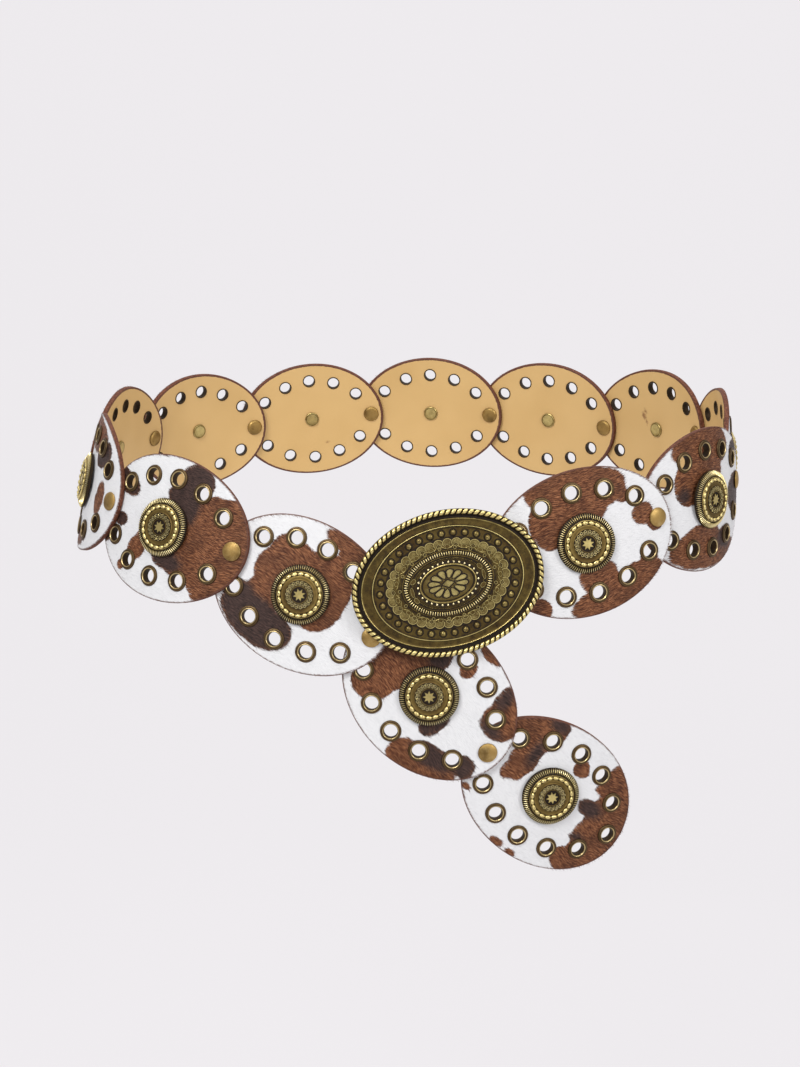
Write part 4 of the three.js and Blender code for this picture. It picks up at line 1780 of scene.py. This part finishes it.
    def _border(self) -> bpy.types.Object:
        """Models the border: overlapping scallops, diamonds, zigzag stems and small loops.

        Returns:
            The border.
        """
        scallop = Bench.token(16, (2.35, 2.2), 2.0, 0.56, 0.4, 0.12, (-0.1, 0.88, 0.62))
        Bench.place(scallop, Matrix.Rotation(math.radians(2.5), 4, "Y"))
        parts = [Bench.ring("scallops", scallop, self.scallops, self.scallop_oval)]
        frame_in = Bench.token(4, (1.5, 1.2), 2.5, 0.42, 0.26, 0.1, (-0.1, 0.85, -0.1))
        heart = Bench.token(4, (0.62, 0.5), 2.6, 0.34, 0.1, 0.0, (0.1, 0.6, 0.5))
        diamond = Bench.join("diamond", [frame_in, heart])
        half = self.scallops // 2
        parts.append(Bench.ring("diamonds", diamond, half, self.diamond_oval, 0.25))
        arch = Bench.token(12, (1.25, 0.95), 2.5, 0.4, 0.24, 0.2, (-0.1, 0.8, 0.3))
        parts.append(Bench.ring("arches", arch, half, self.arch_oval, 0.75))
        for turn, start in ((60, 0.0), (-60, 0.5)):
            stem = Bench.lay(Bench.bead((0.2, 2.0, 0.3), 2.75, 6, 6, polish_and_light=0.75), 0, 0, turn)
            parts.append(Bench.ring("stems", stem, half, self.stem_oval, start))
        loop = Bench.token(10, (0.78, 0.86), 2.6, 0.42, 0.24, 0.26, (-0.1, 0.85, -0.1))
        parts.append(Bench.ring("loops", loop, half, self.loop_oval, 0.25))
        return Bench.join("border", parts)

    def _ribs(self) -> bpy.types.Object:
        """Models the ribbed oval: one rounded bar, copied round."""
        # Polish above 1 paints a highlight on each bar.
        bar = Bench.bead((0.31, 1.3, 0.55), 3.1, 6, 8, polish_and_light=1.25)
        return Bench.ring("ribs", bar, self.ribs, self.rib_oval)

    def _inner_ornament(self) -> bpy.types.Object:
        """Models the pearls and the leaves at either end of them.

        Returns:
            The pearls and the leaves.
        """
        # Polish above 1 paints a highlight on each pearl.
        pearl = Bench.bead((0.56, 0.56, 0.55), 3.42, 10, 6, polish_and_light=1.4)
        parts = [Bench.ring("pearls", pearl, self.pearls, self.pearl_oval)]
        # Each leaf's place along and across, its half sizes and its turn in degrees.
        leaves = (
            (15.85, 0.1, 0.8, 2.3, 0),
            (14.9, 3.9, 1.0, 1.5, 28),
            (14.4, -4.3, 1.0, 1.5, -52),
        )
        for x, y, wide, high, turn in leaves:
            for side in (1, -1):
                leaf = Bench.token(12, (wide, high), 3.3, 0.32, 0.22, 0.1, (-0.2, 0.8, 0.42))
                parts.append(Bench.lay(leaf, side * x, side * y, turn))
        return Bench.join("pearls", parts)

    @staticmethod
    def _petal(grow: float, height: float, polish_and_light: Shine) -> bpy.types.Object:
        """Models one petal: an eight-cornered token, narrowed towards the middle.

        Args:
            grow: how much larger than the bare petal it is.
            height: how high its foot stands, in millimetres.
            polish_and_light: the foot's, the rim's and the face's polish.

        Returns:
            The petal, pointing along +Y.
        """
        petal = Bench.token(8, (0.98 * grow, 2.1), height, 0.3, 0.12, 0.0, polish_and_light)
        Bench.edit(petal)
        # For each band of corners its lower and upper end, its new width and its shift.
        bands = (
            (1.75, 3.0, 1.0, -0.3),
            (0.9, 1.7, 1.18, -0.12),
            (-0.5, 0.5, 1.0, 0.5),
            (-1.7, -0.9, 0.62, 0.0),
        )
        for low, high, width, shift in bands:
            Bench.choose(lambda co: low < co.y / MM < high)
            middle = (0, 0, height * MM)
            bpy.ops.transform.resize(value=(width, 1, 1), center_override=middle)
            bpy.ops.transform.translate(value=(0, shift * MM, 0))
        Bench.close()
        return petal

    def _flower(self) -> bpy.types.Object:
        """Sets the petals round the middle over dark outlines of painted shadow, with a diamond boss.

        Returns:
            The flower.
        """
        # The first, larger layer of petals is dark all over: painted shadow that outlines the petals.
        layers = (
            (self._petal(1.62, 3.5, (-0.3, -0.3, -0.3)), 4.5, 1.2),
            (self._petal(1.0, 3.66, (-0.3, 0.95, 0.82)), 4.45, 0.96),
        )
        petals = []
        for model, reach, stretch in layers:
            for number in range(self.petals):
                turn = 2 * math.pi * (number + 0.5) / self.petals - math.pi / 2
                twin = Bench.copy(model)
                Bench.place(twin, Matrix.Diagonal((1, stretch, 1, 1)))
                spot = Matrix.Translation((0, reach * MM, 0))
                petals.append(Bench.place(twin, Matrix.Rotation(turn, 4, "Z") @ spot))
            bpy.data.objects.remove(model)
        flower = Bench.join("flower", petals)
        Bench.place(flower, Matrix.Diagonal((*self.flower_stretch, 1, 1)))
        shadow = Bench.token(4, (3.35, 2.15), 3.62, 0.3, 0.1, 0, (-0.2, -0.2, -0.2))
        boss = Bench.token(4, (2.5, 1.5), 3.7, 0.42, 0.16, -0.08, (-0.1, 0.85, 0.75))
        return Bench.join("flower", [flower, shadow, boss])

    def _back(self, hook_in: Matrix, post_in: Matrix) -> bpy.types.Object:
        """Models the hook and the post behind the plate.

        Args:
            hook_in: the hook's stand in the buckle's frame.
            post_in: the post's.

        Returns:
            The two fittings.
        """
        hook_top = 1.0 - hook_in.translation.z / MM
        rows = [
            (1.4, 1.4, -3.8, 0.5), (1.8, 1.8, -3.4, 0.5), (1.8, 1.8, hook_top - 0.6, 0.3),
            (2.6, 2.6, hook_top, 0.3),
        ]
        peg = Bench.turned("peg", rows, 20)
        toe = Bench.bead((3.6, 1.6, 0.9), -2.95, 14, 8)
        Bench.place(toe, Matrix.Translation((-2.3 * MM, 0, 0)))
        post_top = 1.0 - post_in.translation.z / MM
        rows = [
            (1.2, 1.2, -2.85, 0.6), (3.4, 3.4, -2.4, 0.6), (4.3, 4.3, -1.9, 0.55),
            (4.25, 4.25, -1.6, 0.2), (1.5, 1.5, -1.6, 0.1), (1.5, 1.5, 1.6, 0.1),
            (3.1, 3.1, 1.6, 0.2), (3.2, 3.2, 1.9, 0.3), (3.2, 3.2, post_top, 0.3),
        ]
        post = Bench.turned("post", rows, 24)
        Bench.place(peg, hook_in)
        Bench.place(toe, hook_in)
        Bench.place(post, post_in)
        return Bench.join("fittings", [peg, toe, post])

    def build(self) -> None:
        """Builds the buckle and sets it over the front of the loop."""
        stand, hook_in, post_in = self.form.buckle_stand()
        plate = Bench.turned("plate", self.plate_rows, self.sides)
        pieces = [plate, self._rope(), self._stud_ring(), self._border(), self._ribs()]
        pieces += [self._inner_ornament(), self._flower(), self._back(hook_in, post_in)]
        buckle = Bench.join("buckle_front", pieces)
        Bench.place(buckle, stand)
        buckle.data.materials.append(self.metal.make())
        Bench.hand_over(buckle, Slot.BUCKLE, "buckle")


# The patches of each disc's hide


DARK = Tone.DARK


def _patches(*rows: tuple) -> tuple[Patch, ...]:
    """Makes patches from rows of x, y, half width, half height, turn, and a tone if not brown."""
    return tuple(Patch(*row) for row in rows)


HIDES: tuple[Hide, ...] = (
    Hide("hide_01", _patches(
        (-2, 27, 19, 12, 0), (-13, 12, 9.5, 11, 0), (0, 14, 14, 8, 0), (14, 21, 11, 8.5, 0),
        (21.5, 15, 3.5, 3.5, 0),
        (2, -16, 9, 8, 0), (0, -28, 14, 7, 0), (12, -26, 18, 9, 6), (22, -21, 11, 6, 0),
        (27, -15, 4.5, 4, 0),
        (29, 4, 5.5, 5.2, 0), (34, -1, 4.8, 4.5, 0), (-28, -23, 6, 5.8, 0),
    ), -4),
    Hide("hide_02", _patches(
        (-1, 25, 21, 9, 0), (-12, 10, 10.5, 10.5, 0), (0, 12, 13, 11, 0), (14, 21, 7.5, 6.5, 0),
        (-17, 5, 4, 3, 0, DARK), (-9, -20, 18, 10, 0), (-18, -20, 12, 6, 0), (6, -27, 20, 5, 0),
        (13, -21, 8.5, 5.5, 0, DARK), (33, -5, 15, 10, -10, DARK), (30, 14.5, 7, 6.5, 0, DARK),
    ), -2),
    Hide("hide_03", _patches(
        (28, -2, 22, 15, -8), (14, -22, 16, 9, 10), (-24, -11, 17, 6.5, -22, DARK),
        (-16, 9, 10, 4.5, -18, DARK), (-8, 28, 15, 6, 0), (30, 22, 8, 6, 0),
    ), 4),
    Hide("hide_04", _patches(
        (-22, 12, 15, 12, 20), (-30, 2, 9, 10, 0), (6, 26, 12, 7, 0, DARK), (24, 4, 12, 9, -30),
        (12, -20, 17, 9, 10), (-14, -24, 7, 5, 0), (36, -10, 6, 6, 0),
    ), -8),
    Hide("hide_05", _patches(
        (10, 14, 19, 13, -15), (28, 18, 9, 8, 0), (-26, -6, 12, 14, 15), (-14, -22, 12, 7, 0, DARK),
        (22, -22, 9, 6, 0), (-20, 24, 6, 5, 0), (34, -2, 5, 4, 0),
    ), 6),
    Hide("hide_06", _patches(
        (-18, 18, 16, 11, 12), (-32, 4, 8, 9, 0, DARK), (16, -14, 18, 13, -20), (2, -25, 14, 6, 0),
        (30, 16, 9, 8, 0), (-20, -20, 6, 5, 0), (10, 27, 7, 4, 0),
    ), -5),
    Hide("hide_07", _patches(
        (20, 16, 17, 12, -12), (4, 24, 11, 7, 0), (-24, 0, 13, 11, 0), (-30, -14, 8, 6, 0, DARK),
        (6, -22, 14, 8, 8), (32, -10, 7, 7, 0), (-12, 26, 5, 4, 0),
    ), 3),
    Hide("hide_08", _patches(
        (-10, 20, 18, 10, 8), (-30, 10, 9, 10, 0), (26, 2, 12, 15, 0), (16, -20, 13, 8, 0, DARK),
        (-16, -18, 13, 8, -12), (36, 18, 4, 5, 0),
    ), -6),
    Hide("hide_09", _patches(
        (-14, 8, 14, 16, 0), (-4, 26, 15, 6, 0), (22, 18, 8, 6, 0), (28, -8, 11, 12, 20, DARK),
        (6, -24, 13, 7, 0), (-28, -16, 9, 8, 0), (16, -12, 6, 7, 0),
    ), 5),
    Hide("hide_10", _patches(
        (-5, 23, 23, 8, 0), (17, 17.5, 9, 6.5, 15, DARK), (-30, 14, 15, 12, 0),
        (24, -1.7, 4.5, 8, 0), (0, -26, 14, 5, 0), (13, -21, 6, 5, 0, DARK), (-36, -10, 7, 7, 0),
    ), -6),
    Hide("hide_11", _patches(
        (30, 2, 19, 19.5, 0), (16, 2, 12, 14, 0), (22, 17, 5, 4, 0), (27, -17, 9, 8, 0),
        (24.5, -22.5, 3, 3.5, 0), (14, -12, 12, 7.5, 0),
        (10, 25, 9.3, 7, -6, DARK), (5, 16, 8.5, 6.5, 0, DARK), (9, 12, 6, 8, 0, DARK),
        (4, -12, 7, 5.3, 0, DARK), (8, -14, 6, 4, 0, DARK),
        (-29, 12, 9, 4.8, -12, DARK), (-35, 15, 6, 3, -15, DARK), (-27, -4.5, 4.6, 3.4, 0, DARK),
        (-34.5, -14.5, 3.8, 4.5, 0, DARK), (-22, 28.6, 2.6, 1.2, 15, DARK), (-15, 31, 5, 1, 5, DARK),
        (-12, -13.5, 5.2, 5.5, 0), (-12, -9, 3, 3, 0), (-17, -20.5, 1.3, 2.5, -15),
        (-18.5, -24, 2.5, 2.3, 0),
    ), -4),
    Hide("hide_12", _patches(
        (-6, 4, 19, 15.5, 0), (-13, 13, 10, 8, 0), (4, 6, 15.5, 16.5, 0), (8, 0, 11.5, 12, 0),
        (-14, -8, 9, 8, 0), (8, 29.5, 12.5, 4.5, 0), (10, 23, 5.5, 8, 0),
        (-13, -20, 18, 9.5, -12, DARK), (-4, -20, 10.2, 8, 0, DARK), (-24, -13.5, 7, 6, 0, DARK),
    ), -3),
    Hide("hide_13", _patches(
        (-20, 0, 11, 14, 0), (-22, -12, 10, 10, 0), (-12, 10, 7, 8, 0), (-8, 15, 4.5, 6, 0, DARK),
        (3.5, 19.8, 3.5, 4, 0), (5, 31.2, 6.5, 2.4, -8),
        (12.3, -6, 2.4, 6, 0, DARK), (9.5, -11, 3.6, 3, 0, DARK),
        (30, 13, 8.6, 8, 0), (27, 21, 6.5, 8.5, 10), (24, 22, 3, 6, 12, DARK), (29, 8, 6, 3, 0, DARK),
        (20, -18, 10, 5.2, 12, DARK), (33, -12, 5.3, 5, 0, DARK), (14, -25, 10.5, 7, 0),
        (24, -21, 11, 6, 8), (10, -29, 6, 4, 0), (40, -16.5, 1.5, 1.8, 0),
    ), -5),
    Hide("hide_14", _patches(
        (-20, 23, 10, 10.5, 0), (-20, 8, 6.5, 12, 4), (-22.5, -0.5, 3.5, 5, 0),
        (-28, 17, 9, 8, 0), (-17, 12, 3, 7, 4, DARK), (-16, 28, 5, 3.5, 0, DARK),
        (5, 17.5, 4.4, 3.9, 0), (36, 5, 16, 22, 0), (25, 21, 8.3, 9.5, 10), (20, 14.5, 4, 2.5, 0),
        (20, 5, 6.6, 3.8, 0, DARK), (27, -6, 7.5, 6.5, 0), (23, -8.7, 3.5, 2.2, 0, DARK),
        (27, -19.5, 9, 7, 8), (30, -13, 8, 9, 0), (-6, -30.3, 3.5, 2, 0), (2, -31.2, 2.5, 1.6, 0),
        (-33, -18, 2.5, 1.5, 0),
    ), -3),
)


# Stage, camera and light


@dataclass(frozen=True)
class Lamp:
    """One soft square lamp: its place and aim in metres, its side and its power in watts."""

    name: str
    place: tuple[float, float, float]
    aim: tuple[float, float, float]
    size: float
    power: float

    def hang(self) -> None:
        """Hangs the lamp, facing its aim."""
        data = bpy.data.lights.new(self.name, "AREA")
        data.size = self.size
        data.energy = self.power
        lamp = bpy.data.objects.new(self.name, data)
        lamp.location = self.place
        direction = Vector(self.aim) - Vector(self.place)
        lamp.rotation_euler = direction.to_track_quat("-Z", "Y").to_euler()
        bpy.context.scene.collection.objects.link(lamp)


@dataclass(frozen=True)
class Studio:
    """A pale sweep, soft lamps and the camera."""

    lens: float = 50.15
    place: tuple[float, float, float] = (0.02844, -0.7376, 0.1181)
    pitch: float = 10.61
    yaw: float = -1.75
    floor: float = -0.42
    back: float = 1.3
    paper: Colour = (0.855, 0.832, 0.855)
    glow: float = 0.87
    paper_share: float = 0.12
    sheet_side: float = 6.0
    wall_height: float = 4.0
    fold: float = 0.7
    room: Colour = (1.0, 0.985, 0.99)
    room_light: float = 0.42
    lamps: Sequence[Lamp] = (
        Lamp("key", (-0.55, -1.2, 1.1), (0, 0, 0), 0.7, 19.0),
        Lamp("fill", (1.0, -1.1, 0.6), (0, 0, 0), 0.6, 9.0),
        Lamp("top", (0.1, 0.1, 1.4), (0, 0.1, 0), 0.8, 9.0),
    )

    def sweep(self) -> None:
        """Builds the floor and the backdrop as one softly glowing sheet with a rounded fold."""
        Bench.clear()
        bpy.ops.mesh.primitive_plane_add(size=self.sheet_side, location=(0, 0, 0))
        sheet = bpy.context.object
        sheet.name = "pale_sweep"
        Bench.edit(sheet)
        bpy.ops.transform.translate(value=(0, self.back - self.sheet_side / 2, self.floor))
        Bench.choose(lambda co: co.y > self.back - 0.01)
        rise = {"value": (0, 0, self.wall_height)}
        bpy.ops.mesh.extrude_edges_move(TRANSFORM_OT_translate=rise)
        Bench.choose(lambda co: co.y > self.back - 0.01 and co.z < self.floor + 0.01)
        bpy.ops.mesh.bevel(offset=self.fold, segments=16, affect="EDGES")
        Bench.close()
        bpy.ops.object.shade_smooth_by_angle(angle=math.radians(60))
        paint = Paint("pale_paper")
        dim = tuple(self.paper_share * share for share in self.paper)
        paint.set(Base_Color=dim, Roughness=1.0, Specular_IOR_Level=0.0)
        paint.set(Emission_Color=self.paper, Emission_Strength=self.glow)
        sheet.data.materials.append(paint.material)

    def light(self) -> None:
        """Sets the lamps and the soft light of the room."""
        for lamp in self.lamps:
            lamp.hang()
        world = bpy.data.worlds.new("room")
        world.use_nodes = True
        background = world.node_tree.nodes["Background"]
        background.inputs["Color"].default_value = (*self.room, 1.0)
        background.inputs["Strength"].default_value = self.room_light
        bpy.context.scene.world = world
        bpy.context.scene.view_settings.view_transform = "Standard"

    def camera(self) -> None:
        """Places the camera at the picture's angle."""
        data = bpy.data.cameras.new("camera")
        data.sensor_fit = "VERTICAL"
        data.sensor_height = 36.0
        data.lens = self.lens
        data.clip_start = 0.01
        camera = bpy.data.objects.new("camera", data)
        pitch, yaw = math.radians(self.pitch), math.radians(self.yaw)
        flat = math.cos(pitch)
        view = Vector((math.sin(yaw) * flat, math.cos(yaw) * flat, -math.sin(pitch)))
        side = Vector((math.cos(yaw), -math.sin(yaw), 0.0))
        matrix = Matrix((side, side.cross(view), -view)).transposed().to_4x4()
        matrix.translation = self.place
        camera.matrix_world = matrix
        bpy.context.scene.collection.objects.link(camera)
        bpy.context.scene.camera = camera

    def build(self) -> None:
        """Builds the stage, the light and the camera."""
        self.sweep()
        self.light()
        self.camera()


def main() -> None:
    """Builds the belt piece by piece, then the studio."""
    logging.basicConfig(level=logging.INFO, format="%(message)s")
    chain = Chain()
    form = WornForm(chain)
    for part in (LeatherDiscs, Eyelets, Conchos, Rivets, Buckle):
        LOG.info("building %s", part.__name__)
        part(chain, form).build()
    Studio().build()


if __name__ == "__main__":
    main()
